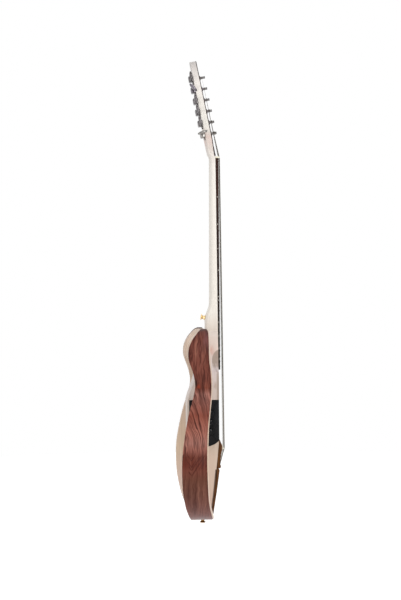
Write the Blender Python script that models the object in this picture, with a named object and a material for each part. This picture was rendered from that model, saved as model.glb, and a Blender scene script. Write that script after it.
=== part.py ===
"""Silent guitar, modelled in metres with +Z towards the head.

The origin is on the fingerboard's front plane, on the centre line, at the nut's inner edge.
The front faces -Y and the bass side is -X. A maple neck and a deep, narrow core carry the
strings. Two open bent frames, rosewood outside and maple inside, are screwed to the core's
tail and to a cross bar behind its shoulder.
"""

import math

import bmesh
import bpy
from mathutils import Matrix, Vector

for item in list(bpy.data.objects):
    bpy.data.objects.remove(item, do_unlink=True)

# Running gap between neighbouring pieces
FIT = 0.0003

# Strings, low to high
SCALE_LENGTH = 0.648
STRING_DIAMETERS = (0.00135, 0.00107, 0.00081, 0.00061, 0.00041, 0.0003)
STRING_SPREAD_NUT = 0.0355
STRING_SPREAD_SADDLE = 0.0525
STRING_OVER_NUT = 0.0018
STRING_OVER_SADDLE = 0.0064
STRING_WRAPS = 1.75
WRAP_GAP = 0.00045
WRAP_POINTS = 18

# Fingerboard and frets
NUT_WIDTH = 0.043
NUT_LENGTH = 0.0037
NUT_HEIGHT = 0.0026
BOARD_END_WIDTH = 0.0565
BOARD_AT_NUT = 0.007
BOARD_AT_BODY = 0.005
BOARD_RADIUS = 0.4
BOARD_PAST_LAST_FRET = 0.0077
FRET_COUNT = 22
FRET_WIDTH = 0.0024
FRET_HEIGHT = 0.0008
FRET_TANG = 0.0005

# Neck, heel and head
NECK_BACK_AT_NUT = 0.0205
NECK_BACK_AT_HEEL = 0.023
NECK_SIDE = 0.002
HEEL_DROP = 0.010
HEEL_START = 0.324
HEEL_FULL = 0.284
NECK_END = 0.262
TENON_WIDTH = 0.024
TENON_DEPTH = 0.016
TENON_LENGTH = 0.030
HEAD_TILT = math.radians(10.1)
HEAD_DROP = 0.0068
HEAD_LENGTH = 0.2275
HEAD_THICK = 0.015
HEAD_FLARE = 0.0115
HEAD_MARGIN = 0.013
OVERLAY_THICK = 0.0015
OVERLAY_START = 0.0055
ROD_WIDTH = 0.006
ROD_DEPTH = 0.008
ROD_LENGTH = 0.340
ROD_NUT_DIAMETER = 0.0062
ROD_POCKET_END = 0.019
COVER_LENGTH = 0.022
COVER_START = 0.0062
COVER_THICK = 0.002
COVER_WIDTH = 0.021

# Tuners
POST_FIRST = 0.0558
POST_TOP_MARGIN = 0.040
POST_SPACING = (HEAD_LENGTH - POST_TOP_MARGIN - POST_FIRST) / (len(STRING_DIAMETERS) - 1)
POST_DIAMETER = 0.006
POST_WAIST = 0.005
POST_HEIGHT = 0.0126
WRAP_HEIGHT = 0.0062
BUSHING_DIAMETER = 0.009
BUSHING_FLANGE = 0.0108
BUSHING_HEIGHT = 0.0022
HOUSING_LENGTH = 0.020
HOUSING_WIDTH = 0.014
HOUSING_DEPTH = 0.0098
HOUSING_BORE_DEPTH = 0.005
SHAFT_DIAMETER = 0.005
SHAFT_REACH = 0.009
SHAFT_SEAT = 0.004
SHAFT_ABOVE_POST = 0.003
BUTTON_LENGTH = 0.015
BUTTON_WIDTH = 0.023
BUTTON_THICK = 0.0065
BUTTON_SIDES = 12
BUTTON_TURNS = (-80.0, 4.0, 6.0, -5.0, 35.0, -3.0)

# Core, heights measured up from the saddle line
CORE_HALF_WIDTH = 0.050
SHOULDER_START = 0.248
SHOULDER_FULL = 0.143
TAPER_START = -0.080
CORE_TAIL_HALF = 0.034
CORE_TAIL = -0.1515
CORE_FRONT_LINE = ((NECK_END, 0.0053), (0.165, 0.0053), (0.016, 0.0065), (CORE_TAIL, 0.0237))
CORE_BACK_LINE = ((0.263, 0.033), (0.208, 0.0475), (0.150, 0.061), (0.108, 0.0755), (0.090, 0.076),
                  (-0.072, 0.076), (-0.122, 0.070), (CORE_TAIL, 0.062))
SCOOP_CENTRE = (0.0465, 0.002, 0.199)
SCOOP_RADII = (0.017, 0.020, 0.031)

# Panel, controls and battery
PANEL_TOP = 0.1083
PANEL_BOTTOM = 0.0045
PANEL_BACK = 0.072
PANEL_THICK = 0.003
PANEL_ARC = 0.047
CHAMBER_TOP = 0.098
CHAMBER_BOTTOM = 0.026
CHAMBER_FRONT = 0.016
CHAMBER_BACK = 0.062
CHAMBER_DEPTH = 0.040
KNOB_FRONT = 0.0245
KNOB_HEIGHTS = (0.078, 0.058, 0.038)
KNOB_DIAMETER = 0.014
KNOB_HEIGHT = 0.0075
KNOB_STEM = 0.006
POT_DIAMETER = 0.015
POT_DEPTH = 0.010
POWER_FRONT = 0.050
POWER_HEIGHT = 0.078
POWER_DIAMETER = 0.008
POWER_TRAVEL = 0.0015
BOARD_DEPTH = 0.0016
DRAWER_FRONT = 0.044
DRAWER_HEIGHT = 0.071
DRAWER_WIDTH = 0.034
DRAWER_TALL = 0.025
DRAWER_LENGTH = 0.055
DRAWER_WALL = 0.0015
DRAWER_FACE = 0.003
BATTERY_SIZE = (0.0485, 0.0265, 0.0175)
STUD_HEIGHT = 0.003
JACK_HEIGHTS = (-0.024, -0.052)
JACK_BORES = (0.0066, 0.0037)
JACK_FRONT = 0.044
JACK_BARREL = 0.012
JACK_FLANGE = 0.015
JACK_LENGTH = 0.026

# Bridge, saddle and tail wedge
BRIDGE_TOP = 0.0195
BRIDGE_END = -0.0445
BRIDGE_HALF_WIDTH = 0.048
BRIDGE_CORNER = 0.012
BRIDGE_CREST = -0.0005
BRIDGE_LOW_FRONT = 0.0022
SADDLE_LENGTH = 0.074
SADDLE_THICK = 0.003
SADDLE_BOTTOM = 0.0045
SADDLE_SLANT = 0.035
PICKUP_THICK = 0.0012
STRING_EXIT = 0.0048
BALL_DIAMETER = 0.0034
BALL_LENGTH = 0.0036
WEDGE_TOP = BRIDGE_END - FIT
WEDGE_END = -0.1497
WEDGE_THICK_TOP = 0.0075
WEDGE_THICK_END = 0.004
WEDGE_MARGIN = 0.0015

# Bent frames, heights measured up from the saddle line
ROSEWOOD_THICK = 0.0014
LINER_THICK = 0.0076
FRAME_ROUNDING = 0.0005
FRAME_REVEAL = 0.0024
SCARF_START = 0.060
SCARF_END = 0.090
SCARF_EDGE = 0.0006
FRAME_STEPS = 3
TAIL_BOW = 1.55
BLOCK_HALF_WIDTH = 0.048
BLOCK_TOP = 0.234
BLOCK_LOW = 0.204
BLOCK_THICK = 0.016
FRAME_SHAPE = ((0.0515, 0.245), (0.0635, 0.2605), (0.088, 0.2673), (0.112, 0.260), (0.128, 0.241),
               (0.134, 0.214), (0.1285, 0.183), (0.118, 0.152), (0.116, 0.124), (0.130, 0.083),
               (0.156, 0.031), (0.1735, -0.018), (0.174, -0.060), (0.161, -0.097),
               (0.139, -0.1215), (0.110, -0.1405))
FRAME_FRONT_LINE = ((0.268, 0.0350), (0.262, 0.0326), (0.202, 0.0320), (0.170, 0.0282),
                    (0.144, 0.0266), (0.122, 0.0276), (0.092, 0.0314), (0.048, 0.0372),
                    (-0.012, 0.0403), (-0.062, 0.0394), (-0.112, 0.0350), (-0.161, 0.0212))
FRAME_BACK_LINE = ((0.267, 0.0462), (0.2635, 0.0523), (0.256, 0.0588), (0.246, 0.0668),
                   (0.226, 0.0756), (0.202, 0.0764),
                   (0.170, 0.066), (0.144, 0.062), (0.118, 0.0666), (0.081, 0.0777), (0.031, 0.0882),
                   (-0.012, 0.0938), (-0.072, 0.0932), (-0.112, 0.0868), (-0.137, 0.0788),
                   (-0.161, 0.0682))

# Fasteners: head radius, head height, shank radius, shank length
WOOD_SCREW = (0.0036, 0.0022, 0.0019, 0.024)
PANEL_SCREW = (0.0024, 0.0012, 0.0011, 0.009)
TUNER_SCREW = (0.0022, 0.0012, 0.0010, 0.008)
COVER_SCREW = (0.0016, 0.0008, 0.0008, 0.005)
STRAP_SCREW = (0.0035, 0.0020, 0.0018, 0.020)
STRAP_HEIGHT = 0.010
STRAP_CAP = 0.0135
STRAP_NECK = 0.0075
STRAP_BASE = 0.011
HEEL_BUTTON = 0.2905
TAIL_BUTTON_FRONT = 0.0415
TAIL_SCREW_X = 0.019
TAIL_SCREW_FRONT = 0.044
BLOCK_SCREW_X = 0.015

# Colours, roughness and metallic value of each finish
MAPLE = ((0.78, 0.70, 0.60), 0.40, 0.0)
ROSEWOOD = ((0.17, 0.065, 0.045), 0.38, 0.0)
EBONY = ((0.055, 0.036, 0.028), 0.50, 0.0)
DARK_WOOD = ((0.115, 0.060, 0.035), 0.48, 0.0)
BONE = ((0.86, 0.82, 0.72), 0.35, 0.0)
NICKEL = ((0.62, 0.60, 0.56), 0.25, 1.0)
DARK_CHROME = ((0.20, 0.19, 0.18), 0.28, 1.0)
STEEL = ((0.55, 0.54, 0.52), 0.35, 1.0)
GOLD = ((0.83, 0.58, 0.26), 0.28, 1.0)
BLACK_PLASTIC = ((0.012, 0.012, 0.013), 0.45, 0.0)
CIRCUIT_GREEN = ((0.02, 0.12, 0.05), 0.50, 0.0)
CELL_GREY = ((0.25, 0.25, 0.27), 0.45, 0.0)

SADDLE_Z = -SCALE_LENGTH
FRAME_THICK = ROSEWOOD_THICK + FIT + LINER_THICK
FRAME_TAIL = CORE_TAIL - FIT - FRAME_THICK


# Shape helpers

def mix(low, high, share):
    return low + (high - low) * share


def smooth(share):
    """Eases from 0 to 1 with level ends."""
    share = min(max(share, 0.0), 1.0)
    return share * share * (3.0 - 2.0 * share)


def straight_value(points, at):
    """Value at one position of straight runs through (position, value) points."""
    points = sorted(points)
    at = min(max(at, points[0][0]), points[-1][0])
    for low, high in zip(points, points[1:]):
        if at <= high[0]:
            return mix(low[1], high[1], (at - low[0]) / (high[0] - low[0]))
    return points[-1][1]


def curve_value(points, at):
    """Value at one position of a smooth curve through (position, value) points."""
    points = sorted(points)
    at = min(max(at, points[0][0]), points[-1][0])
    index = 0
    while index < len(points) - 2 and at > points[index + 1][0]:
        index += 1

    def slope(spot):
        low = points[max(spot - 1, 0)]
        high = points[min(spot + 1, len(points) - 1)]
        return (high[1] - low[1]) / (high[0] - low[0])

    span = points[index + 1][0] - points[index][0]
    t = (at - points[index][0]) / span
    start = (2 * t ** 3 - 3 * t ** 2 + 1) * points[index][1]
    leave = (t ** 3 - 2 * t ** 2 + t) * span * slope(index)
    reach = (3 * t ** 2 - 2 * t ** 3) * points[index + 1][1]
    arrive = (t ** 3 - t ** 2) * span * slope(index + 1)
    return start + leave + reach + arrive


def path_through(points, steps):
    """Points along a smooth curve through the given flat points, ends included."""
    points = [Vector(point) for point in points]
    padded = [2 * points[0] - points[1]] + points + [2 * points[-1] - points[-2]]
    path = []
    for a, b, c, d in zip(padded, padded[1:], padded[2:], padded[3:]):
        for step in range(steps):
            t = step / steps
            path.append(0.5 * (2 * b + (c - a) * t + (2 * a - 5 * b + 4 * c - d) * t ** 2
                               + (3 * b - a - 3 * c + d) * t ** 3))
    path.append(points[-1])
    return path


def rounded_corner(before, corner, after, radius, steps=4):
    """Points that cut a corner of a flat outline with a soft curve."""
    before, corner, after = Vector(before), Vector(corner), Vector(after)
    start = corner + (before - corner).normalized() * radius
    end = corner + (after - corner).normalized() * radius
    points = []
    for step in range(steps + 1):
        t = step / steps
        points.append((1 - t) ** 2 * start + 2 * t * (1 - t) * corner + t ** 2 * end)
    return points


def loft(rings, shape=None, closed=False):
    """Skins a row of rings with equal point counts; closed joins the last to the first."""
    shape = shape or bmesh.new()
    rows = [[shape.verts.new(point) for point in ring] for ring in rings]
    pairs = list(zip(rows, rows[1:]))
    if closed:
        pairs.append((rows[-1], rows[0]))
    for low, high in pairs:
        for spot in range(len(low)):
            after = (spot + 1) % len(low)
            shape.faces.new((low[spot], low[after], high[after], high[spot]))
    if not closed:
        shape.faces.new(list(reversed(rows[0])))
        shape.faces.new(rows[-1])
    return shape


def box(low, high, shape=None):
    """A box between two corners."""
    rings = []
    for z in (low[2], high[2]):
        rings.append([Vector((low[0], low[1], z)), Vector((high[0], low[1], z)),
                      Vector((high[0], high[1], z)), Vector((low[0], high[1], z))])
    return loft(rings, shape)


def slab_x(outline, low, high, shape=None):
    """Extrudes an outline of (y, z) pairs along X."""
    return loft([[Vector((x, y, z)) for y, z in outline] for x in (low, high)], shape)


def slab_y(outline, low, high, shape=None):
    """Extrudes an outline of (x, z) pairs along Y."""
    return loft([[Vector((x, y, z)) for x, z in outline] for y in (low, high)], shape)


def turned(profile, place, steps=16, shape=None, bore=False):
    """Revolves (radius, height) pairs about the local Z of a placement matrix."""
    rings = []
    for radius, height in profile:
        ring = []
        for step in range(steps):
            angle = 2 * math.pi * step / steps
            ring.append(place @ Vector((radius * math.cos(angle), radius * math.sin(angle), height)))
        rings.append(ring)
    return loft(rings, shape, closed=bore)


def facing(origin, axis):
    """Placement whose local Z runs along an axis."""
    turn = Vector(axis).to_track_quat("Z", "Y").to_matrix().to_4x4()
    return Matrix.Translation(origin) @ turn


def paint(obj, look):
    colour, roughness, metallic = look
    material = bpy.data.materials.new(obj.name)
    material.use_nodes = True
    shader = material.node_tree.nodes["Principled BSDF"]
    shader.inputs["Base Color"].default_value = (*colour, 1.0)
    shader.inputs["Roughness"].default_value = roughness
    shader.inputs["Metallic"].default_value = metallic
    obj.data.materials.append(material)


def solid(name, shape, look=None, origin=(0.0, 0.0, 0.0)):
    """Makes a named object of a finished shape, with its origin where it turns."""
    bmesh.ops.recalc_face_normals(shape, faces=shape.faces)
    shape.transform(Matrix.Translation(-Vector(origin)))
    mesh = bpy.data.meshes.new(name)
    shape.to_mesh(mesh)
    shape.free()
    mesh.shade_smooth()
    mesh.set_sharp_from_angle(angle=math.radians(35))
    obj = bpy.data.objects.new(name, mesh)
    obj.location = origin
    bpy.context.collection.objects.link(obj)
    if look:
        paint(obj, look)
    return obj


def carve(target, shape, operation="DIFFERENCE"):
    """Applies a hidden wire shape to a target with an exact Boolean."""
    tool = solid(f"{target.name}_tool_{len(target.modifiers)}", shape)
    tool.hide_render = True
    tool.display_type = "WIRE"
    modifier = target.modifiers.new(tool.name, "BOOLEAN")
    modifier.operation = operation
    modifier.solver = "EXACT"
    modifier.object = tool


def screw(size, place, shape=None, steps=12):
    """A screw with its head's underside at the placement and its shank along local -Z."""
    head, height, shank, length = size
    profile = ((shank * 0.3, -length), (shank, -length + 0.003), (shank, 0.0), (head, 0.0),
               (head, height * 0.5), (head * 0.75, height))
    return turned(profile, place, steps, shape)


def shank_hole(size, place, shape=None, steps=12):
    """Clearance hole for the shank alone."""
    radius = size[2] + FIT
    return turned(((radius, -size[3] - FIT), (radius, 0.004)), place, steps, shape)


def screw_hole(size, place, shape=None, steps=12, counterbore=0.004):
    """Clearance hole for a screw, with a counterbore above the head's seat."""
    head, height, shank, length = size
    profile = ((shank + FIT, -length - FIT), (shank + FIT, -FIT), (head + FIT, -FIT),
               (head + FIT, height + counterbore))
    return turned(profile, place, steps, shape)


# Shared lines of the instrument

def fret_z(number):
    return -SCALE_LENGTH * (1.0 - 2.0 ** (-number / 12.0))


BOARD_END = fret_z(FRET_COUNT) - BOARD_PAST_LAST_FRET


def board_half_width(z):
    return mix(NUT_WIDTH, BOARD_END_WIDTH, z / BOARD_END) / 2.0


def board_front(x):
    """The fingerboard's crowned front falls away to its sides."""
    return x * x / (2.0 * BOARD_RADIUS)


def board_back(z):
    share = min(z / (SADDLE_Z + NECK_END), 1.0)
    return mix(BOARD_AT_NUT, BOARD_AT_BODY, share)


def string_x(number, z):
    share = number / (len(STRING_DIAMETERS) - 1) - 0.5
    return share * mix(STRING_SPREAD_NUT, STRING_SPREAD_SADDLE, -z / SCALE_LENGTH)


def core_front(height):
    return straight_value(CORE_FRONT_LINE, height)


def core_back(height):
    return curve_value(CORE_BACK_LINE, height)


def core_half_width(height):
    flare = smooth((SHOULDER_START - height) / (SHOULDER_START - SHOULDER_FULL))
    taper = smooth((TAPER_START - height) / (TAPER_START - CORE_TAIL))
    full = mix(board_half_width(SADDLE_Z + height), CORE_HALF_WIDTH, flare)
    return full - (CORE_HALF_WIDTH - CORE_TAIL_HALF) * taper


HEAD_UP = Vector((0.0, math.sin(HEAD_TILT), math.cos(HEAD_TILT)))
HEAD_OUT = Vector((0.0, -math.cos(HEAD_TILT), math.sin(HEAD_TILT)))


def on_head(x, up, out):
    """A point given across the head, along it from the nut, and out from its front."""
    return Vector((x, HEAD_DROP, 0.0)) + HEAD_UP * up + HEAD_OUT * out


def post_reach(number):
    """Distance from a post's axis to the middle of the string beside it."""
    return POST_WAIST / 2.0 + FIT + STRING_DIAMETERS[number] / 2.0


def post_centre(number):
    """Where a post stands on the head: its string runs straight on from the nut."""
    up = POST_FIRST + POST_SPACING * number
    return string_x(number, up * HEAD_UP.z) - post_reach(number), up


def bass_edge(up):
    first_x, first_up = post_centre(0)
    last_x, last_up = post_centre(len(STRING_DIAMETERS) - 1)
    line = mix(first_x, last_x, (up - first_up) / (last_up - first_up)) - HEAD_MARGIN
    return mix(-NUT_WIDTH / 2.0, line, smooth((up - 0.012) / 0.034))


def treble_edge(up):
    return NUT_WIDTH / 2.0 + HEAD_FLARE * smooth((up - 0.012) / 0.045)


def head_outline(start):
    """The head seen from the front: a plain tapering paddle with two soft corners."""
    flare = [start + (0.060 - start) * step / 9 for step in range(10)]
    top_treble = (treble_edge(HEAD_LENGTH), HEAD_LENGTH)
    top_bass = (bass_edge(HEAD_LENGTH), HEAD_LENGTH)
    outline = [(treble_edge(up), up) for up in flare]
    outline += rounded_corner((treble_edge(0.1), 0.1), top_treble, top_bass, 0.010)
    outline += rounded_corner(top_treble, top_bass, (bass_edge(0.1), 0.1), 0.008)
    outline += [(bass_edge(up), up) for up in reversed(flare)]
    return outline


def head_slab(outline, low, high, shape=None):
    return loft([[on_head(x, up, out) for x, up in outline] for out in (low, high)], shape)


def head_pin(x, up, out):
    """Placement on the head whose local Z points out of its front."""
    return facing(on_head(x, up, out), HEAD_OUT)


# Neck: one maple piece from the heel's tenon to the tip of the head

NECK_ARC = 10


def neck_section(half, side, depth, square):
    """Flat-topped section as (x, depth below the top) pairs, rounder for a lower square."""
    section = [(-half, 0.0)]
    for step in range(NECK_ARC + 1):
        angle = math.pi * step / NECK_ARC
        across = math.cos(angle)
        x = -half * math.copysign(abs(across) ** (2.0 / square), across)
        section.append((x, side + (depth - side) * abs(math.sin(angle)) ** (2.0 / square)))
    section.append((half, 0.0))
    return section


def neck_back(z):
    heel_start = SADDLE_Z + HEEL_START
    heel_full = SADDLE_Z + HEEL_FULL
    drop = HEEL_DROP * smooth((heel_start - z) / (heel_start - heel_full))
    return mix(NECK_BACK_AT_NUT, NECK_BACK_AT_HEEL, min(z / heel_start, 1.0)) + drop


def make_neck():
    neck_end = SADDLE_Z + NECK_END
    heel_start = SADDLE_Z + HEEL_START
    heel_full = SADDLE_Z + HEEL_FULL
    stations = [neck_end, mix(neck_end, heel_full, 0.5), heel_full]
    stations += [mix(heel_full, heel_start, step / 6) for step in range(1, 7)]
    stations += [heel_start * share for share in (0.8, 0.55, 0.3, 0.1, 0.04)]
    rings = []
    for z in stations:
        top = board_back(z) + FIT
        square = mix(2.3, 5.0, smooth((heel_start + 0.03 - z) / 0.07))
        section = neck_section(board_half_width(z), NECK_SIDE, neck_back(z) - top, square)
        rings.append([Vector((x, top + down, z)) for x, down in section])

    # Under the nut the back eases into the head's square section
    shelf = BOARD_AT_NUT + FIT
    nut_end = NUT_LENGTH + 2 * FIT
    head_back = OVERLAY_THICK + FIT
    for z, square in ((-0.005, 2.7), (0.0, 3.0), (nut_end, 3.5)):
        back = NECK_BACK_AT_NUT + max(z, 0.0) * math.tan(HEAD_TILT)
        section = neck_section(NUT_WIDTH / 2.0, NECK_SIDE, back - shelf, square)
        rings.append([Vector((x, shelf + down, z)) for x, down in section])
    top = HEAD_DROP + nut_end * math.tan(HEAD_TILT) + head_back / math.cos(HEAD_TILT)
    lip = [point + Vector((0.0, 0.0, 0.0005)) for point in rings[-1]]
    lip[0].y = top
    lip[-1].y = top
    rings.append(lip)
    inset = 0.0001
    for up, square in ((0.014, 6.0), (0.022, 12.0)):
        half = (treble_edge(up) - bass_edge(up)) / 2 - inset
        centre = (treble_edge(up) + bass_edge(up)) / 2
        section = neck_section(half, NECK_SIDE, HEAD_THICK - head_back - 2 * inset, square)
        rings.append([on_head(centre + x, up, -head_back - inset - down) for x, down in section])
    neck = solid("neck", loft(rings), MAPLE)
    carve(neck, head_slab(head_outline(0.019), -HEAD_THICK, -head_back), "UNION")
    tenon_top = CHAMBER_FRONT - TENON_DEPTH / 2.0
    tenon = box((-TENON_WIDTH / 2, tenon_top, neck_end - TENON_LENGTH),
                (TENON_WIDTH / 2, tenon_top + TENON_DEPTH, neck_end + 0.010))
    carve(neck, tenon, "UNION")
    carve(neck, rod_channel())
    holes = bmesh.new()
    for number in range(len(STRING_DIAMETERS)):
        turned(((BUSHING_DIAMETER / 2 + FIT, -0.020), (BUSHING_DIAMETER / 2 + FIT, 0.004)),
               head_pin(*post_centre(number), 0.0), 12, holes)
        shank_hole(TUNER_SCREW, tuner_screw_place(number), holes, 8)
    shank_hole(STRAP_SCREW, heel_button_place(), holes)
    for place in cover_screw_places():
        shank_hole(COVER_SCREW, place, holes, 8)
    carve(neck, holes)


# Truss rod in its channel, adjusted under a small cover above the nut

def rod_channel():
    """The channel runs under the fingerboard and opens on the head's front."""
    half = ROD_WIDTH / 2 + FIT
    floor = BOARD_AT_NUT + 2 * FIT + ROD_DEPTH + FIT
    wide = ROD_NUT_DIAMETER / 2 + 2 * FIT
    end = ROD_POCKET_END * math.cos(HEAD_TILT)
    rings = []
    for z, reach, depth in ((-ROD_LENGTH - FIT, half, floor), (-0.004, half, floor),
                            (-0.003, wide, floor + FIT), (end, wide, floor + FIT)):
        rings.append([Vector((-reach, -0.002, z)), Vector((reach, -0.002, z)),
                      Vector((reach, depth, z)), Vector((-reach, depth, z))])
    return loft(rings)


def make_truss_rod():
    top = BOARD_AT_NUT + 2 * FIT
    middle = top + ROD_DEPTH - ROD_NUT_DIAMETER / 2
    bar = box((-ROD_WIDTH / 2, top, -ROD_LENGTH), (ROD_WIDTH / 2, top + ROD_DEPTH, -FIT))
    rod = solid("truss_rod", bar, STEEL)
    radius = ROD_NUT_DIAMETER / 2
    profile = ((radius * 0.8, -0.003), (radius, FIT), (radius, 0.009), (radius * 0.8, 0.010),
               (radius * 0.5, 0.010), (radius * 0.5, 0.003))
    carve(rod, turned(profile, facing((0.0, middle, 0.0), (0, 0, 1)), 12), "UNION")


def cover_screw_places():
    low = COVER_START + 0.0035
    high = COVER_START + COVER_LENGTH - 0.0045
    side = ROD_NUT_DIAMETER / 2 + 0.0035
    out = FIT + COVER_THICK - 0.0002
    return [head_pin(-side, low, out), head_pin(side, low, out), head_pin(0.0, high, out)]


def make_headstock_overlay():
    overlay = solid("headstock_overlay", head_slab(head_outline(OVERLAY_START), -OVERLAY_THICK, 0.0), EBONY)
    carve(overlay, rod_channel())
    holes = bmesh.new()
    for number in range(len(STRING_DIAMETERS)):
        turned(((BUSHING_DIAMETER / 2 + FIT, -0.004), (BUSHING_DIAMETER / 2 + FIT, 0.004)),
               head_pin(*post_centre(number), 0.0), 12, holes)
    for place in cover_screw_places():
        shank_hole(COVER_SCREW, place, holes, 8)
    carve(overlay, holes)


def make_truss_rod_cover():
    """A small plate with its three screws in place."""
    half = COVER_WIDTH / 2
    end = COVER_START + COVER_LENGTH
    base_left = (-half, COVER_START)
    base_right = (half, COVER_START)
    top_right = (half * 0.75, end)
    top_left = (-half * 0.75, end)
    outline = [base_left, base_right]
    outline += rounded_corner(base_right, top_right, top_left, 0.005)
    outline += rounded_corner(top_right, top_left, base_left, 0.005)
    cover = solid("truss_rod_cover", head_slab(outline, FIT, FIT + COVER_THICK), BLACK_PLASTIC)
    screws = bmesh.new()
    for place in cover_screw_places():
        screw(COVER_SCREW, place, screws, 8)
    carve(cover, screws, "UNION")


# Fingerboard with its frets, and the nut

def fret_wires():
    """Crowned wires across the board, their tangs let into it."""
    shape = bmesh.new()
    for number in range(1, FRET_COUNT + 1):
        z = fret_z(number)
        half = board_half_width(z) - 0.0002
        rings = []
        for share in (-1, -0.5, 0, 0.5, 1):
            x = half * share
            tang = board_front(x) + FRET_TANG
            crown = board_front(x) - FRET_HEIGHT
            rings.append([Vector((x, tang, z - FRET_WIDTH / 2)), Vector((x, tang, z + FRET_WIDTH / 2)),
                          Vector((x, crown, z + FRET_WIDTH / 5)), Vector((x, crown, z - FRET_WIDTH / 5))])
        loft(rings, shape)
    return shape


def make_fingerboard():
    rings = []
    for z in (BOARD_END, SADDLE_Z + NECK_END, 0.0):
        half = board_half_width(z)
        back = board_back(z)
        ring = [Vector((-half, back, z)), Vector((half, back, z))]
        ring += [Vector((half * share, board_front(half * share), z)) for share in (1, 0.5, 0, -0.5, -1)]
        rings.append(ring)
    board = solid("fingerboard", loft(rings), EBONY)
    carve(board, fret_wires(), "UNION")


def make_nut():
    half = NUT_WIDTH / 2 - 0.0002
    outline = [(BOARD_AT_NUT, FIT), (-NUT_HEIGHT, FIT), (-NUT_HEIGHT + 0.0003, FIT + 0.0012),
               (-NUT_HEIGHT + 0.0014, FIT + NUT_LENGTH), (BOARD_AT_NUT, FIT + NUT_LENGTH)]
    nut = solid("nut", slab_x(outline, -half, half), BONE)
    slots = bmesh.new()
    floor = -STRING_OVER_NUT + FIT
    fall = math.tan(HEAD_TILT + math.radians(2.5))
    for number, diameter in enumerate(STRING_DIAMETERS):
        x = string_x(number, 0.0)
        reach = diameter / 2 + FIT
        slot = [(floor, -0.001), (floor, FIT), (floor + 0.006 * fall, FIT + 0.006), (-0.008, FIT + 0.006),
                (-0.008, -0.001)]
        slab_x(slot, x - reach, x + reach, slots)
    carve(nut, slots)


# Tuners: housing behind the head, turning post through it, button at the bass side

def tuner_screw_place(number):
    x, up = post_centre(number)
    ear = up - HOUSING_WIDTH / 2 - 0.003
    return facing(on_head(x - 0.003, ear, -HEAD_THICK - FIT - 0.0018), -HEAD_OUT)


def make_tuners():
    back = -HEAD_THICK - FIT
    middle = back - HOUSING_DEPTH / 2
    for number in range(len(STRING_DIAMETERS)):
        x, up = post_centre(number)
        edge = x - HEAD_MARGIN
        make_housing(number, x, up, edge, back)
        make_post(number, x, up, back)
        make_button(number, edge, up + SHAFT_ABOVE_POST, middle)


def make_housing(number, x, up, edge, back):
    """A sealed gear case with its screw, its barrel through the head and the nut in front."""
    low = up - HOUSING_WIDTH / 2
    high = up + HOUSING_WIDTH / 2
    far = edge + HOUSING_LENGTH
    centre = (edge + far) / 2
    rings = []
    for down, share in ((0.0, 1.0), (HOUSING_DEPTH - 0.002, 1.0), (HOUSING_DEPTH, 0.8)):
        rings.append([on_head(mix(centre, px, share), mix(up, pup, share), back - down)
                      for px, pup in ((edge, low), (far, low), (far, high), (edge, high))])
    housing = solid(f"tuner_housing_{number + 1}", loft(rings), DARK_CHROME)
    ear = ((x - 0.006, low - 0.006), (x, low - 0.006), (x, low + 0.002), (x - 0.006, low + 0.002))
    carve(housing, head_slab(ear, back - 0.002, back - 0.0001), "UNION")
    outer = BUSHING_DIAMETER / 2
    flange = BUSHING_FLANGE / 2
    barrel = ((outer, back - 0.001), (outer, FIT), (flange, FIT), (flange, BUSHING_HEIGHT * 0.7),
              (flange * 0.85, BUSHING_HEIGHT))
    carve(housing, turned(barrel, head_pin(x, up, 0.0), 12), "UNION")
    carve(housing, screw(TUNER_SCREW, tuner_screw_place(number), None, 8), "UNION")
    bore = POST_DIAMETER / 2 + FIT
    bores = turned(((bore, back - HOUSING_BORE_DEPTH - FIT), (bore, 0.006)), head_pin(x, up, 0.0), 12)
    shaft = facing(on_head(edge, up + SHAFT_ABOVE_POST, back - HOUSING_DEPTH / 2), (-1, 0, 0))
    turned(((SHAFT_DIAMETER / 2 + FIT, -SHAFT_SEAT - FIT), (SHAFT_DIAMETER / 2 + FIT, 0.002)),
           shaft, 12, bores)
    carve(housing, bores)


def make_post(number, x, up, back):
    radius = POST_DIAMETER / 2
    waist = POST_WAIST / 2
    top = POST_HEIGHT
    profile = ((radius, back - HOUSING_BORE_DEPTH), (radius, WRAP_HEIGHT - 0.002),
               (waist, WRAP_HEIGHT - 0.001), (waist, top - 0.002), (radius * 0.95, top - 0.0012),
               (radius * 0.95, top - 0.0004), (radius * 0.75, top))
    origin = on_head(x, up, 0.0)
    post = solid(f"tuner_post_{number + 1}", turned(profile, head_pin(x, up, 0.0), 12), NICKEL, origin)
    hole = turned(((0.0007, -0.006), (0.0007, 0.006)),
                  facing(on_head(x, up, top - 0.0027), (1, 0, 0)), 8)
    carve(post, hole)


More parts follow.
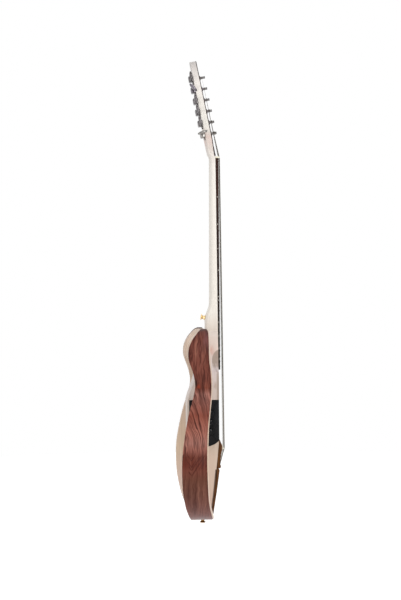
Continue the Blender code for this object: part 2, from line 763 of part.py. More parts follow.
def make_button(number, edge, up, middle):
    """An oval button on its shaft, drawn out along the bass side."""
    shaft = SHAFT_DIAMETER / 2
    thick = BUTTON_THICK / 2
    wide = BUTTON_WIDTH / 2
    start = SHAFT_REACH
    stations = ((-SHAFT_SEAT, shaft, shaft), (start - 0.0015, shaft, shaft), (start, shaft * 1.3, shaft * 1.5),
                (start + BUTTON_LENGTH * 0.18, thick * 0.92, wide * 0.72),
                (start + BUTTON_LENGTH * 0.42, thick, wide * 0.97),
                (start + BUTTON_LENGTH * 0.66, thick, wide),
                (start + BUTTON_LENGTH * 0.88, thick * 0.85, wide * 0.85),
                (start + BUTTON_LENGTH, thick * 0.45, wide * 0.5))
    turn = math.radians(BUTTON_TURNS[number])
    rings = []
    for reach, half_thick, half_wide in stations:
        ring = []
        for step in range(BUTTON_SIDES):
            angle = 2 * math.pi * step / BUTTON_SIDES
            across = half_thick * math.cos(angle)
            along = half_wide * math.sin(angle)
            out = across * math.cos(turn) - along * math.sin(turn)
            rise = across * math.sin(turn) + along * math.cos(turn)
            ring.append(on_head(edge - reach, up + rise, middle + out))
        rings.append(ring)
    solid(f"tuner_button_{number + 1}", loft(rings), DARK_CHROME, on_head(edge, up, middle))


# Core: a deep narrow body, cut from the crossing of its side view and its front view

def core_side_view():
    heights = [NECK_END - FIT, 0.165, 0.016, CORE_TAIL]
    outline = [(core_front(height), SADDLE_Z + height) for height in heights]
    rise = [CORE_TAIL, -0.137, -0.122, -0.105, -0.085, 0.090, 0.105, 0.118, 0.132, 0.150, 0.170, 0.190,
            0.210, 0.235, NECK_END - FIT]
    outline += [(core_back(height), SADDLE_Z + height) for height in rise]
    return outline


def core_front_view():
    shoulder = [mix(NECK_END - FIT, SHOULDER_START, step / 2) for step in range(2)]
    shoulder += [mix(SHOULDER_START, SHOULDER_FULL, step / 8) for step in range(9)]
    foot = FRAME_TAIL + FRAME_THICK + FIT
    side = foot + TAIL_BOW * CORE_TAIL_HALF ** 2 + 0.0001
    taper = [mix(TAPER_START, side, step / 6) for step in range(7)]
    half = [(core_half_width(height), SADDLE_Z + height) for height in shoulder + taper]
    for share in (0.66, 0.33):
        x = CORE_TAIL_HALF * share
        half.append((x, SADDLE_Z + foot + TAIL_BOW * x * x + 0.0001))
    return half + [(0.0, SADDLE_Z + foot)] + [(-x, z) for x, z in reversed(half)]


def make_core():
    core = solid("core_body", slab_x(core_side_view(), -0.070, 0.070), MAPLE)
    carve(core, slab_y(core_front_view(), -0.020, 0.110), "INTERSECT")
    neck_end = SADDLE_Z + NECK_END
    tenon_top = CHAMBER_FRONT - TENON_DEPTH / 2.0
    mortise = box((-TENON_WIDTH / 2 - FIT, tenon_top - FIT, neck_end - TENON_LENGTH - FIT),
                  (TENON_WIDTH / 2 + FIT, tenon_top + TENON_DEPTH + FIT, neck_end + 0.010))
    for side in (-1, 1):
        scoop(side, mortise)
    carve(core, mortise)
    recess = slab_x(panel_outline(FIT), -0.080, -CORE_HALF_WIDTH + PANEL_THICK + FIT)
    carve(core, recess)
    chamber = box((-0.080, CHAMBER_FRONT, SADDLE_Z + CHAMBER_BOTTOM),
                  (-CORE_HALF_WIDTH + CHAMBER_DEPTH, CHAMBER_BACK, SADDLE_Z + CHAMBER_TOP))
    back = core_back(DRAWER_HEIGHT)
    low, high = drawer_corners(FIT)
    box(low, high, chamber)
    low, high = drawer_flange_corners(FIT)
    pocket = box(low, (high[0], back + 0.010, high[2]))
    carve(core, chamber)
    for height in JACK_HEIGHTS:
        turned(((JACK_BARREL / 2 + FIT, -JACK_LENGTH - FIT), (JACK_BARREL / 2 + FIT, 0.010)),
               jack_place(height), 16, pocket)
    shank_hole(STRAP_SCREW, tail_button_place(), pocket)
    for place in tail_screw_places() + block_screw_places():
        shank_hole(WOOD_SCREW, place, pocket)
    for place in panel_screw_places():
        shank_hole(PANEL_SCREW, place, pocket, 8)
    carve(core, pocket)


def scoop(side, shape):
    """A rounded hollow in the core's shoulder that lets the hand reach the last frets."""
    x, y, height = SCOOP_CENTRE
    centre = Vector((side * x, y, SADDLE_Z + height))
    rings = []
    for step in range(1, 8):
        polar = math.pi * step / 8
        ring = []
        for turn in range(12):
            angle = 2 * math.pi * turn / 12
            ring.append(centre + Vector((SCOOP_RADII[0] * math.sin(polar) * math.cos(angle),
                                         SCOOP_RADII[1] * math.sin(polar) * math.sin(angle),
                                         SCOOP_RADII[2] * math.cos(polar))))
        rings.append(ring)
    loft(rings, shape)


# Control panel on the bass side with three knobs, a power button and the circuit behind it

def panel_outline(grow):
    """Straight top, bowed foot; the front edge is flush with the core's front."""
    front = core_front(PANEL_TOP)
    middle = (front + PANEL_BACK) / 2
    half = (PANEL_BACK - front) / 2 + grow
    radius = PANEL_ARC + grow
    centre = PANEL_BOTTOM + PANEL_ARC
    front_reach = 0.004 if grow else 0.0
    outline = [(middle - half - front_reach, SADDLE_Z + PANEL_TOP + grow),
               (middle + half, SADDLE_Z + PANEL_TOP + grow)]
    for step in range(11):
        y = half * (1 - step / 5)
        outline.append((middle + y, SADDLE_Z + centre - math.sqrt(radius ** 2 - y ** 2)))
    if grow:
        outline.append((middle - half - front_reach, outline[-1][1]))
    return outline


def panel_place(front, height, out=0.0):
    """Placement on the panel's outer face whose local Z points away from the core."""
    return facing((-CORE_HALF_WIDTH - out, front, SADDLE_Z + height), (-1, 0, 0))


def panel_screw_places():
    seat = -0.0002
    spots = ((0.0115, 0.1025), (0.0665, 0.1025), (0.0125, 0.020), (0.0655, 0.020))
    return [panel_place(front, height, seat) for front, height in spots]


def make_panel():
    outer = -CORE_HALF_WIDTH
    panel = solid("control_panel", slab_x(panel_outline(0.0), outer, outer + PANEL_THICK), BLACK_PLASTIC)
    screws = bmesh.new()
    for place in panel_screw_places():
        screw(PANEL_SCREW, place, screws, 8)
    carve(panel, screws, "UNION")
    holes = bmesh.new()
    for height in KNOB_HEIGHTS:
        radius = KNOB_STEM / 2 + FIT
        turned(((radius, -0.006), (radius, 0.006)), panel_place(KNOB_FRONT, height), 12, holes)
    radius = POWER_DIAMETER / 2 + FIT
    turned(((radius, -0.006), (radius, 0.006)), panel_place(POWER_FRONT, POWER_HEIGHT), 12, holes)
    carve(panel, holes)


def make_controls():
    """Knobs and button outside; the circuit board carries their pots and switch."""
    inner = -PANEL_THICK - FIT
    seat = inner - POT_DEPTH
    stem = KNOB_STEM / 2
    radius = KNOB_DIAMETER / 2
    pot = POT_DIAMETER / 2
    carried = bmesh.new()
    for name, height in zip(("knob_volume", "knob_bass", "knob_treble"), KNOB_HEIGHTS):
        place = panel_place(KNOB_FRONT, height)
        profile = ((stem, inner - 0.004), (stem, FIT), (radius, FIT), (radius, KNOB_HEIGHT * 0.75),
                   (radius * 0.9, KNOB_HEIGHT), (radius * 0.7, KNOB_HEIGHT - 0.0006))
        knob = solid(name, turned(profile, place, 16), BLACK_PLASTIC, place.translation)
        pointer = box((-0.0004, 0.0025, KNOB_HEIGHT - 0.0012), (0.0004, radius * 0.9, KNOB_HEIGHT + 0.002))
        pointer.transform(place)
        carve(knob, pointer)
        profile = ((pot, seat - 0.0008), (pot, inner), (stem + FIT, inner), (stem + FIT, inner - 0.006))
        turned(profile, place, 10, carried)
    place = panel_place(POWER_FRONT, POWER_HEIGHT)
    cap = POWER_DIAMETER / 2
    collar = cap + 0.0012
    profile = ((collar, inner - 0.002), (collar, inner), (cap, inner), (cap, 0.0022), (cap * 0.8, 0.0028))
    solid("power_button", turned(profile, place), BLACK_PLASTIC, place.translation)
    floor = inner - 0.002 - POWER_TRAVEL - FIT
    turned(((collar, seat - 0.0008), (collar, floor), (collar * 0.5, floor), (collar * 0.5, floor - 0.003)),
           place, 10, carried)
    face = -CORE_HALF_WIDTH - seat + FIT
    low = SADDLE_Z + CHAMBER_BOTTOM + 0.0005
    high = SADDLE_Z + CHAMBER_TOP - 0.0005
    board = solid("preamp_board", box((face, CHAMBER_FRONT + 0.0005, low),
                                      (face + BOARD_DEPTH, CHAMBER_BACK - 0.0005, high)), CIRCUIT_GREEN)
    carve(board, carried, "UNION")
    chips = bmesh.new()
    back = face + BOARD_DEPTH
    for front, height, half in ((0.026, 0.086, 0.004), (0.045, 0.070, 0.006), (0.030, 0.045, 0.005)):
        z = SADDLE_Z + height
        box((back - 0.0005, front - half, z - half), (back + 0.003, front + half, z + half), chips)
    carve(board, chips, "UNION")


# Battery drawer that slides out of the core's treble side

def drawer_corners(grow):
    """The drawer's tray, from its inner end to under its face on the treble side."""
    z = SADDLE_Z + DRAWER_HEIGHT
    low = (CORE_HALF_WIDTH - DRAWER_LENGTH - grow, DRAWER_FRONT - DRAWER_WIDTH / 2 - grow,
           z - DRAWER_TALL / 2 - grow)
    high = (CORE_HALF_WIDTH, DRAWER_FRONT + DRAWER_WIDTH / 2 + grow, z + DRAWER_TALL / 2 + grow)
    return low, high


def drawer_flange_corners(grow):
    """The drawer's face, let into the core's side."""
    low, high = drawer_corners(0.0)
    rim = 0.003 + grow
    return ((high[0] - DRAWER_FACE - grow, low[1] - rim, low[2] - rim),
            (high[0], high[1] + rim, high[2] + rim))


def make_battery_drawer():
    low, high = drawer_corners(0.0)
    face_low, face_high = drawer_flange_corners(0.0)
    tray = box(low, (face_low[0] + 0.001, high[1], high[2]))
    drawer = solid("battery_drawer", tray, BLACK_PLASTIC)
    carve(drawer, box(face_low, face_high), "UNION")
    wall = DRAWER_WALL
    room = box((low[0] + wall, low[1] + wall, low[2] + wall),
               (face_low[0] - wall, high[1] - wall, high[2] + 0.010))
    grip = box((face_high[0] - 0.0015, DRAWER_FRONT - 0.008, face_low[2] + 0.0015),
               (face_high[0] + 0.002, DRAWER_FRONT + 0.008, face_low[2] + 0.005))
    carve(drawer, room)
    carve(drawer, grip)
    long, wide, tall = BATTERY_SIZE
    start = low[0] + wall + FIT + STUD_HEIGHT
    floor = low[2] + wall + FIT
    case = box((start, DRAWER_FRONT - wide / 2, floor),
               (start + long - STUD_HEIGHT, DRAWER_FRONT + wide / 2, floor + tall))
    battery = solid("battery", case, CELL_GREY)
    studs = bmesh.new()
    for side in (-1, 1):
        turned(((0.003, -0.001), (0.003, STUD_HEIGHT - FIT)),
               facing((start, DRAWER_FRONT + side * 0.0065, floor + tall / 2), (-1, 0, 0)), 8, studs)
    carve(battery, studs, "UNION")


# Jack sockets on the treble side

def jack_place(height):
    return facing((CORE_HALF_WIDTH, JACK_FRONT, SADDLE_Z + height), (1, 0, 0))


def make_jacks():
    barrel = JACK_BARREL / 2
    flange = JACK_FLANGE / 2
    for name, height, bore in zip(("jack_socket_line", "jack_socket_phones"), JACK_HEIGHTS, JACK_BORES):
        radius = bore / 2
        profile = ((radius, -JACK_LENGTH), (barrel, -JACK_LENGTH), (barrel, FIT), (flange, FIT),
                   (flange, 0.0012), (flange * 0.8, 0.002), (radius, 0.002))
        solid(name, turned(profile, jack_place(height), 16, bore=True), NICKEL)


# Bridge, saddle and pickup

def saddle_height(x):
    """The saddle slants so that the heavier strings are a little longer."""
    return SADDLE_SLANT * x


def saddle_bar(half_length, half_thick, top, bottom, shape=None):
    rings = []
    for x in (-half_length, half_length):
        z = SADDLE_Z + saddle_height(x)
        rings.append([Vector((x, bottom, z + half_thick)), Vector((x, top + 0.0012, z + half_thick)),
                      Vector((x, top, z + half_thick * 0.3)), Vector((x, top + 0.0001, z - half_thick * 0.2)),
                      Vector((x, top + 0.0016, z - half_thick)), Vector((x, bottom, z - half_thick))])
    return loft(rings, shape)


def string_contact(number):
    """Where a string's middle crosses the saddle."""
    x = string_x(number, SADDLE_Z)
    z = SADDLE_Z + saddle_height(x)
    return Vector((string_x(number, z), -STRING_OVER_SADDLE - STRING_DIAMETERS[number] / 2, z))


def string_end(number):
    """Where a string's middle leaves the bridge's lower end, which it enters just above."""
    z = SADDLE_Z + BRIDGE_END
    return Vector((string_x(number, z), STRING_EXIT, z))


def make_bridge():
    profile = [(BRIDGE_TOP, 0.0052), (BRIDGE_TOP - 0.001, 0.0040), (0.006, BRIDGE_CREST),
               (-0.003, BRIDGE_CREST), (BRIDGE_END + 0.004, BRIDGE_LOW_FRONT),
               (BRIDGE_END + 0.0012, BRIDGE_LOW_FRONT + 0.001), (BRIDGE_END, BRIDGE_LOW_FRONT + 0.003),
               (BRIDGE_END, core_front(BRIDGE_END) - FIT), (0.004, core_front(0.004) - FIT),
               (0.012, core_front(0.012) - FIT),
               (BRIDGE_TOP, core_front(BRIDGE_TOP) - FIT)]
    outline = [(y, SADDLE_Z + height) for height, y in profile]
    bridge = solid("bridge", slab_x(outline, -0.070, 0.070), DARK_WOOD)
    half = BRIDGE_HALF_WIDTH
    top = SADDLE_Z + BRIDGE_TOP + 0.002
    end = SADDLE_Z + BRIDGE_END - 0.002
    corners = ((half, top), (-half, top), (-half, end), (half, end))
    plan = []
    for spot, corner in enumerate(corners):
        plan += rounded_corner(corners[spot - 1], corner, corners[(spot + 1) % 4], BRIDGE_CORNER)
    carve(bridge, slab_y(plan, -0.020, 0.050), "INTERSECT")
    floor = SADDLE_BOTTOM + FIT + PICKUP_THICK + FIT
    slot = saddle_bar(SADDLE_LENGTH / 2 + FIT, SADDLE_THICK / 2 + FIT, -0.020, floor)
    carve(bridge, slot)
    holes = bmesh.new()
    for number, diameter in enumerate(STRING_DIAMETERS):
        way = string_end(number) - string_contact(number)
        length = way.length
        place = facing(string_contact(number), way)
        radius = diameter / 2 + FIT
        pocket = BALL_DIAMETER / 2 + FIT
        seat = length - BALL_LENGTH - 2 * FIT
        turned(((radius, length * 0.55), (radius, seat), (pocket, seat), (pocket, length + 0.006)),
               place, 8, holes)
    carve(bridge, holes)
    top = -STRING_OVER_SADDLE + FIT
    solid("saddle", saddle_bar(SADDLE_LENGTH / 2, SADDLE_THICK / 2, top, SADDLE_BOTTOM), BONE)
    strip = bmesh.new()
    rings = []
    for x in (-SADDLE_LENGTH / 2, SADDLE_LENGTH / 2):
        z = SADDLE_Z + saddle_height(x)
        half = SADDLE_THICK / 2 - FIT
        low = SADDLE_BOTTOM + FIT
        rings.append([Vector((x, low, z - half)), Vector((x, low, z + half)),
                      Vector((x, low + PICKUP_THICK, z + half)), Vector((x, low + PICKUP_THICK, z - half))])
    loft(rings, strip)
    solid("pickup_strip", strip, STEEL)


def make_tail_wedge():
    """The strip on the core's front below the bridge, thinner towards the tail."""
    rings = []
    for share, rise in ((0.0, 0.5), (0.012, 0.8), (0.03, 1.0), (0.3, 1.0), (0.5, 1.0), (0.7, 1.0),
                        (0.85, 1.0), (0.97, 1.0), (1.0, 0.6)):
        height = mix(WEDGE_TOP, WEDGE_END, share)
        half = core_half_width(height) - WEDGE_MARGIN
        thick = mix(WEDGE_THICK_TOP, WEDGE_THICK_END, share) * rise
        low = core_front(height) - FIT
        z = SADDLE_Z + height
        edge = min(0.0012, thick * 0.4)
        rings.append([Vector((-half, low, z)), Vector((half, low, z)), Vector((half, low - thick + edge, z)),
                      Vector((half - edge, low - thick, z)), Vector((-half + edge, low - thick, z)),
                      Vector((-half, low - thick + edge, z))])
    solid("tail_wedge", loft(rings), DARK_WOOD)


# Strings: wound on their posts, over nut and saddle, and held in the bridge's lower end

def wrap_points(number):
    """The turns round a post, from the cut end down to where the string leaves it."""
    x, up = post_centre(number)
    reach = post_reach(number)
    pitch = STRING_DIAMETERS[number] + WRAP_GAP
    count = round(STRING_WRAPS * WRAP_POINTS)
    points = []
    for step in range(count + 1):
        turns = step / WRAP_POINTS
        angle = 2 * math.pi * turns
        points.append(on_head(x + reach * math.cos(angle), up + reach * math.sin(angle),
                              WRAP_HEIGHT + pitch * turns))
    ahead = (points[-1] - points[-2]).normalized() * STRING_DIAMETERS[number]
    points.append(points[-1] + ahead)
    return list(reversed(points))


def least_gap(points, diameter):
    """Smallest free distance between turns that lie more than half a turn apart."""
    least = 1.0
    for first in range(len(points)):
        for second in range(first + WRAP_POINTS * 2 // 3, len(points)):
            least = min(least, (points[first] - points[second]).length - diameter)
    return least


def make_string(number, diameter):
    wraps = wrap_points(number)
    nut = Vector((string_x(number, FIT), -STRING_OVER_NUT - diameter / 2, FIT))
    contact = string_contact(number)
    end = string_end(number)
    way = (end - contact).normalized()
    ball = BALL_DIAMETER / diameter
    seat = end - way * (BALL_LENGTH + FIT)
    points = [(point, 1.0) for point in wraps + [nut, contact, seat - way * FIT]]
    for share, width in ((0.0, 0.75), (0.18, 1.0), (0.82, 1.0), (1.0, 0.75)):
        points.append((seat + way * BALL_LENGTH * share, ball * width))
    curve = bpy.data.curves.new(f"string_{number + 1}", "CURVE")
    curve.dimensions = "3D"
    curve.bevel_depth = diameter / 2
    curve.bevel_resolution = 1
    curve.use_fill_caps = True
    spline = curve.splines.new("POLY")
    spline.points.add(len(points) - 1)
    for spot, (point, width) in zip(spline.points, points):
        spot.co = (*point, 1.0)
        spot.radius = width
    obj = bpy.data.objects.new(curve.name, curve)
    bpy.context.collection.objects.link(obj)
    paint(obj, STEEL)
    print(f"{curve.name}: least gap between turns {least_gap(wraps, diameter) * 1000:.2f} mm")


# Bent frames and the cross bar that holds their upper ends

def frame_path():
    """The treble frame's outer face seen from the front, from the cross bar to the seam."""
    start = BLOCK_HALF_WIDTH + FIT
    points = [(start, BLOCK_LOW - 0.002), (start, mix(BLOCK_LOW, BLOCK_TOP, 0.66))]
    points += FRAME_SHAPE
    for x in (0.080, 0.060, 0.040, 0.020, FIT / 2):
        points.append((x, FRAME_TAIL + TAIL_BOW * x * x))
    return path_through(points, FRAME_STEPS)


def liner_depth(point):
    """The liner is full at the cross bar, and the rosewood's scarf joint lies on the crest."""
    share = 1.0
    if point.y > 0.0:
        share = (point.x - SCARF_START) / (SCARF_END - SCARF_START)
    return (ROSEWOOD_THICK + FIT) * smooth(share)


def rosewood_section(point):
    """Depth inwards from the frame's outer face, and distance behind the strings' plane."""
    inner = liner_depth(point) - FIT
    front = curve_value(FRAME_FRONT_LINE, point.y)
    back = curve_value(FRAME_BACK_LINE, point.y)
    edge = min(FRAME_ROUNDING, inner * 0.5)
    return [(edge, front), (0.0, front + edge), (0.0, back - edge), (edge, back),
            (inner, back), (inner, front)]


def liner_section(point):
    """The liner stands a little proud of the rosewood's front edge."""
    outer = liner_depth(point)
    front = curve_value(FRAME_FRONT_LINE, point.y) - FRAME_REVEAL
    back = curve_value(FRAME_BACK_LINE, point.y)
    return [(outer, front), (outer, back), (FRAME_THICK, back), (FRAME_THICK, front)]


def frame_layer(name, side, section, least, look):
    """One layer of a frame, from where the liner's cover is thick enough to the seam."""
    path = frame_path()
    rings = []
    for spot, point in enumerate(path):
        if liner_depth(point) < least:
            continue
        before = path[max(spot - 1, 0)]
        after = path[min(spot + 1, len(path) - 1)]
        way = (after - before).normalized()
        inward = Vector((way.y, -way.x))
        if spot == len(path) - 1:
            inward = Vector((0.0, 1.0))
        ring = []
        for depth, y in section(point):
            flat = point + inward * depth
            ring.append(Vector((side * flat.x, y, SADDLE_Z + flat.y)))
        rings.append(ring)
    layer = solid(name, loft(rings), look)
    holes = bmesh.new()
    for place in tail_screw_places() + frame_screw_places():
        if place.translation.x * side > 0:
            screw_hole(WOOD_SCREW, place, holes)
    shank_hole(STRAP_SCREW, tail_button_place(), holes)
    carve(layer, holes)


def tail_screw_places():
    """Heads let into the frames' outer face at the tail, bass side first."""
    z = SADDLE_Z + FRAME_TAIL + TAIL_BOW * TAIL_SCREW_X ** 2 + WOOD_SCREW[1]
    return [facing((side * TAIL_SCREW_X, TAIL_SCREW_FRONT, z), (0, 0, -1)) for side in (-1, 1)]


def frame_screw_places():
    """Heads on the liner's face beside the cross bar, shanks into the bar's ends."""
    height = mix(BLOCK_LOW, BLOCK_TOP, 0.3)
    front = core_back(height) + FIT + BLOCK_THICK / 2
    x = BLOCK_HALF_WIDTH + FIT + FRAME_THICK + FIT
    return [facing((side * x, front, SADDLE_Z + height), (side, 0, 0)) for side in (-1, 1)]


def block_screw_places():
    height = mix(BLOCK_LOW, BLOCK_TOP, 0.5)
    seat = core_back(height) + BLOCK_THICK - 0.003
    return [facing((side * BLOCK_SCREW_X, seat, SADDLE_Z + height), (0, 1, 0)) for side in (-1, 1)]


def make_shoulder_block():
    heights = [mix(BLOCK_LOW, BLOCK_TOP, step / 3) for step in range(4)]
    outline = [(core_back(height) + FIT, SADDLE_Z + height) for height in heights]
    outline += [(core_back(height) + FIT + BLOCK_THICK, SADDLE_Z + height) for height in reversed(heights)]
    block = solid("shoulder_block", slab_x(outline, -BLOCK_HALF_WIDTH, BLOCK_HALF_WIDTH), MAPLE)
    holes = bmesh.new()
    for place in block_screw_places() + frame_screw_places():
        screw_hole(WOOD_SCREW, place, holes)
    carve(block, holes)


def make_frames():
    for name, side in (("bass_frame", -1), ("treble_frame", 1)):
        frame_layer(f"{name}_outer", side, rosewood_section, SCARF_EDGE + FIT, ROSEWOOD)
        frame_layer(f"{name}_liner", side, liner_section, 0.0, MAPLE)
    for side, lower, upper in zip(("bass", "treble"), tail_screw_places(), frame_screw_places()):
        solid(f"frame_screw_{side}_lower", screw(WOOD_SCREW, lower), NICKEL)
        solid(f"frame_screw_{side}_upper", screw(WOOD_SCREW, upper), NICKEL)
    for side, place in zip(("bass", "treble"), block_screw_places()):
        solid(f"block_screw_{side}", screw(WOOD_SCREW, place), NICKEL)


# Strap buttons at the heel and the tail

def heel_button_place():
    """Square to the heel's sloping back."""
    z = SADDLE_Z + HEEL_BUTTON
    fall = (neck_back(z - 0.003) - neck_back(z + 0.003)) / 0.006
    out = Vector((0.0, 1.0, fall)).normalized()
    return facing(Vector((0.0, neck_back(z), z)) + out * FIT, out)


def tail_button_place():
    return facing((0.0, TAIL_BUTTON_FRONT, SADDLE_Z + FRAME_TAIL - FIT), (0, 0, -1))


def make_strap_buttons():
    """Each button is turned in one piece with its screw."""
    head, depth, shank, length = STRAP_SCREW
    profile = ((shank * 0.3, -length), (shank, -length + 0.003), (shank, 0.0), (STRAP_BASE / 2, 0.0),
               (STRAP_BASE / 2, 0.0012), (STRAP_NECK / 2, 0.003), (STRAP_NECK / 2, 0.006),
               (STRAP_CAP / 2, 0.0078), (STRAP_CAP / 2, 0.009), (STRAP_CAP / 2 - 0.0015, STRAP_HEIGHT),
               (head, STRAP_HEIGHT), (head * 0.8, STRAP_HEIGHT - depth * 0.5))
    solid("strap_button_heel", turned(profile, heel_button_place(), 16), GOLD)
    solid("strap_button_tail", turned(profile, tail_button_place(), 16), GOLD)


make_neck()
make_truss_rod()
make_headstock_overlay()
make_truss_rod_cover()
make_fingerboard()
make_nut()
make_tuners()
make_core()
make_panel()
make_controls()
make_battery_drawer()
make_jacks()
make_bridge()
make_tail_wedge()
for string_number, string_diameter in enumerate(STRING_DIAMETERS):
    make_string(string_number, string_diameter)
make_shoulder_block()
make_frames()
make_strap_buttons()
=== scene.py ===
"""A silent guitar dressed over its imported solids, in metres, with the head towards +Z."""

import math

import bmesh
import bpy
from mathutils import Matrix, Vector


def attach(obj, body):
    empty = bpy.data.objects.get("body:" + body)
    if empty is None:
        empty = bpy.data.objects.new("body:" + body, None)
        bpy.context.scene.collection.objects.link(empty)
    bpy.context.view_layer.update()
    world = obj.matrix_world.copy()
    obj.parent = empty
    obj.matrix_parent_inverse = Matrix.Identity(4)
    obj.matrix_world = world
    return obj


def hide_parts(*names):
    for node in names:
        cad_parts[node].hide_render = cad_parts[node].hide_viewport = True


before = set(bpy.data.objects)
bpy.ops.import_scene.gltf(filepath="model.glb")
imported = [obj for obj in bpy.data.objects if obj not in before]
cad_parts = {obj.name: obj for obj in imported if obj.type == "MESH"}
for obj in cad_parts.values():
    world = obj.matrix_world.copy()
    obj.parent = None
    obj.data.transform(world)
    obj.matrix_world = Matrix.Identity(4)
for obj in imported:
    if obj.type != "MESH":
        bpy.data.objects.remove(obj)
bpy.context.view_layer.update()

# View: square on to the bass side and a little behind it, from about three metres, with the
# guitar leaning half a degree. Paper white all round, and a plain pale floor well below.
VIEW_CENTRE = Vector((0.0, 0.0422, -0.3176))
VIEW_DISTANCE = 3.05
VIEW_BEHIND = math.radians(3.2)
VIEW_LEAN = math.radians(0.5)
VIEW_TALL = 1.3533
FILM_TALL = 36.0

look = Vector((math.cos(VIEW_BEHIND), -math.sin(VIEW_BEHIND), 0.0))
upright = Vector((0.0, 0.0, 1.0))
level = look.cross(upright)
right = level * math.cos(VIEW_LEAN) - upright * math.sin(VIEW_LEAN)
above = upright * math.cos(VIEW_LEAN) + level * math.sin(VIEW_LEAN)
camera_data = bpy.data.cameras.new("side_view")
camera_data.sensor_width = FILM_TALL
camera_data.lens = FILM_TALL * VIEW_DISTANCE / VIEW_TALL
camera = bpy.data.objects.new("side_view", camera_data)
turn = Matrix((right, above, -look)).transposed().to_4x4()
camera.matrix_world = Matrix.Translation(VIEW_CENTRE - look * VIEW_DISTANCE) @ turn
bpy.context.scene.collection.objects.link(camera)
bpy.context.scene.camera = camera
bpy.context.scene.view_settings.view_transform = "Standard"


def feed(node, inputs):
    """Gives each named input of a node a plain value or another node's output."""
    for socket, value in inputs.items():
        if isinstance(value, bpy.types.NodeSocket):
            node.id_data.links.new(value, node.inputs[socket])
        else:
            node.inputs[socket].default_value = value


def wire(tree, kind, inputs=None, **settings):
    """Adds a node to a tree, with its settings and its inputs."""
    node = tree.nodes.new(kind)
    for key, value in settings.items():
        setattr(node, key, value)
    feed(node, inputs or {})
    return node


def calc(tree, operation, a, b=0.0):
    """One step of arithmetic in a node tree."""
    return wire(tree, "ShaderNodeMath", {0: a, 1: b}, operation=operation).outputs[0]


def ranged(tree, value, low, high, to_low=0.0, to_high=1.0, soft=True):
    """A value held between two limits and brought to two others, with level ends where soft."""
    limits = {"Value": value, "From Min": low, "From Max": high, "To Min": to_low, "To Max": to_high}
    ends = "SMOOTHSTEP" if soft else "LINEAR"
    return wire(tree, "ShaderNodeMapRange", limits, interpolation_type=ends).outputs[0]


def looking_rays(tree):
    """1 for the rays that should see plain white: the camera's, and those in gloss and glass."""
    rays = wire(tree, "ShaderNodeLightPath").outputs
    shiny = calc(tree, "MAXIMUM", rays["Is Glossy Ray"], rays["Is Transmission Ray"])
    return calc(tree, "MAXIMUM", rays["Is Camera Ray"], shiny)


AMBIENT = 0.62
WHITE = (1.0, 1.0, 1.0, 1.0)
world = bpy.data.worlds.new("paper_white")
world.use_nodes = True
bpy.context.scene.world = world
glow = ranged(world.node_tree, looking_rays(world.node_tree), 0.0, 1.0, AMBIENT, 1.0, soft=False)
feed(world.node_tree.nodes["Background"], {"Color": WHITE, "Strength": glow})


def softbox(name, place, target, size, power):
    """A square studio lamp aimed at a point."""
    data = bpy.data.lights.new(name, "AREA")
    data.shape = "SQUARE"
    data.size = size
    data.energy = power
    lamp = bpy.data.objects.new(name, data)
    aim = (Vector(target) - Vector(place)).to_track_quat("-Z", "Y").to_matrix().to_4x4()
    lamp.matrix_world = Matrix.Translation(place) @ aim
    bpy.context.scene.collection.objects.link(lamp)


softbox("key_softbox", (-2.4, -0.9, 0.5), (0.0, 0.03, -0.3), 1.4, 27.0)
softbox("fill_softbox", (-1.8, 2.0, -0.4), (0.0, 0.03, -0.3), 1.6, 15.0)
softbox("overhead_softbox", (0.2, 0.1, 2.4), (0.0, 0.0, -1.0), 2.0, 14.0)


def tone(red, green, blue):
    """Screen values from 0 to 255 as the linear colour that Blender works in."""
    shares = [value / 255.0 for value in (red, green, blue)]
    return (*[((share + 0.055) / 1.055) ** 2.4 if share > 0.04 else share / 12.92 for share in shares], 1.0)


def blank(name):
    """A new material, its node tree and its shader."""
    material = bpy.data.materials.new(name)
    material.use_nodes = True
    return material, material.node_tree, material.node_tree.nodes["Principled BSDF"]


# The floor is lifted to plain white for the rays that look at it, and keeps the shadow on it
FLOOR_LEVEL = -1.02
FLOOR_RADIUS = 3.2
FLOOR_LIFT = 0.5
floor_shape = bmesh.new()
bmesh.ops.create_circle(floor_shape, cap_ends=True, radius=FLOOR_RADIUS, segments=96,
                        matrix=Matrix.Translation((0.0, 0.0, FLOOR_LEVEL)))
floor_mesh = bpy.data.meshes.new("studio_floor")
floor_shape.to_mesh(floor_mesh)
floor_shape.free()
floor = bpy.data.objects.new("studio_floor", floor_mesh)
bpy.context.scene.collection.objects.link(floor)
floor_paint, tree, paint = blank("floor_paint")
feed(paint, {"Base Color": tone(250, 250, 250), "Roughness": 0.9})
lift = calc(tree, "MULTIPLY", looking_rays(tree), FLOOR_LIFT)
lifted = wire(tree, "ShaderNodeEmission", {"Color": WHITE, "Strength": lift})
summed = wire(tree, "ShaderNodeAddShader", {0: paint.outputs[0], 1: lifted.outputs[0]})
feed(tree.nodes["Material Output"], {"Surface": summed.outputs[0]})
floor_mesh.materials.append(floor_paint)

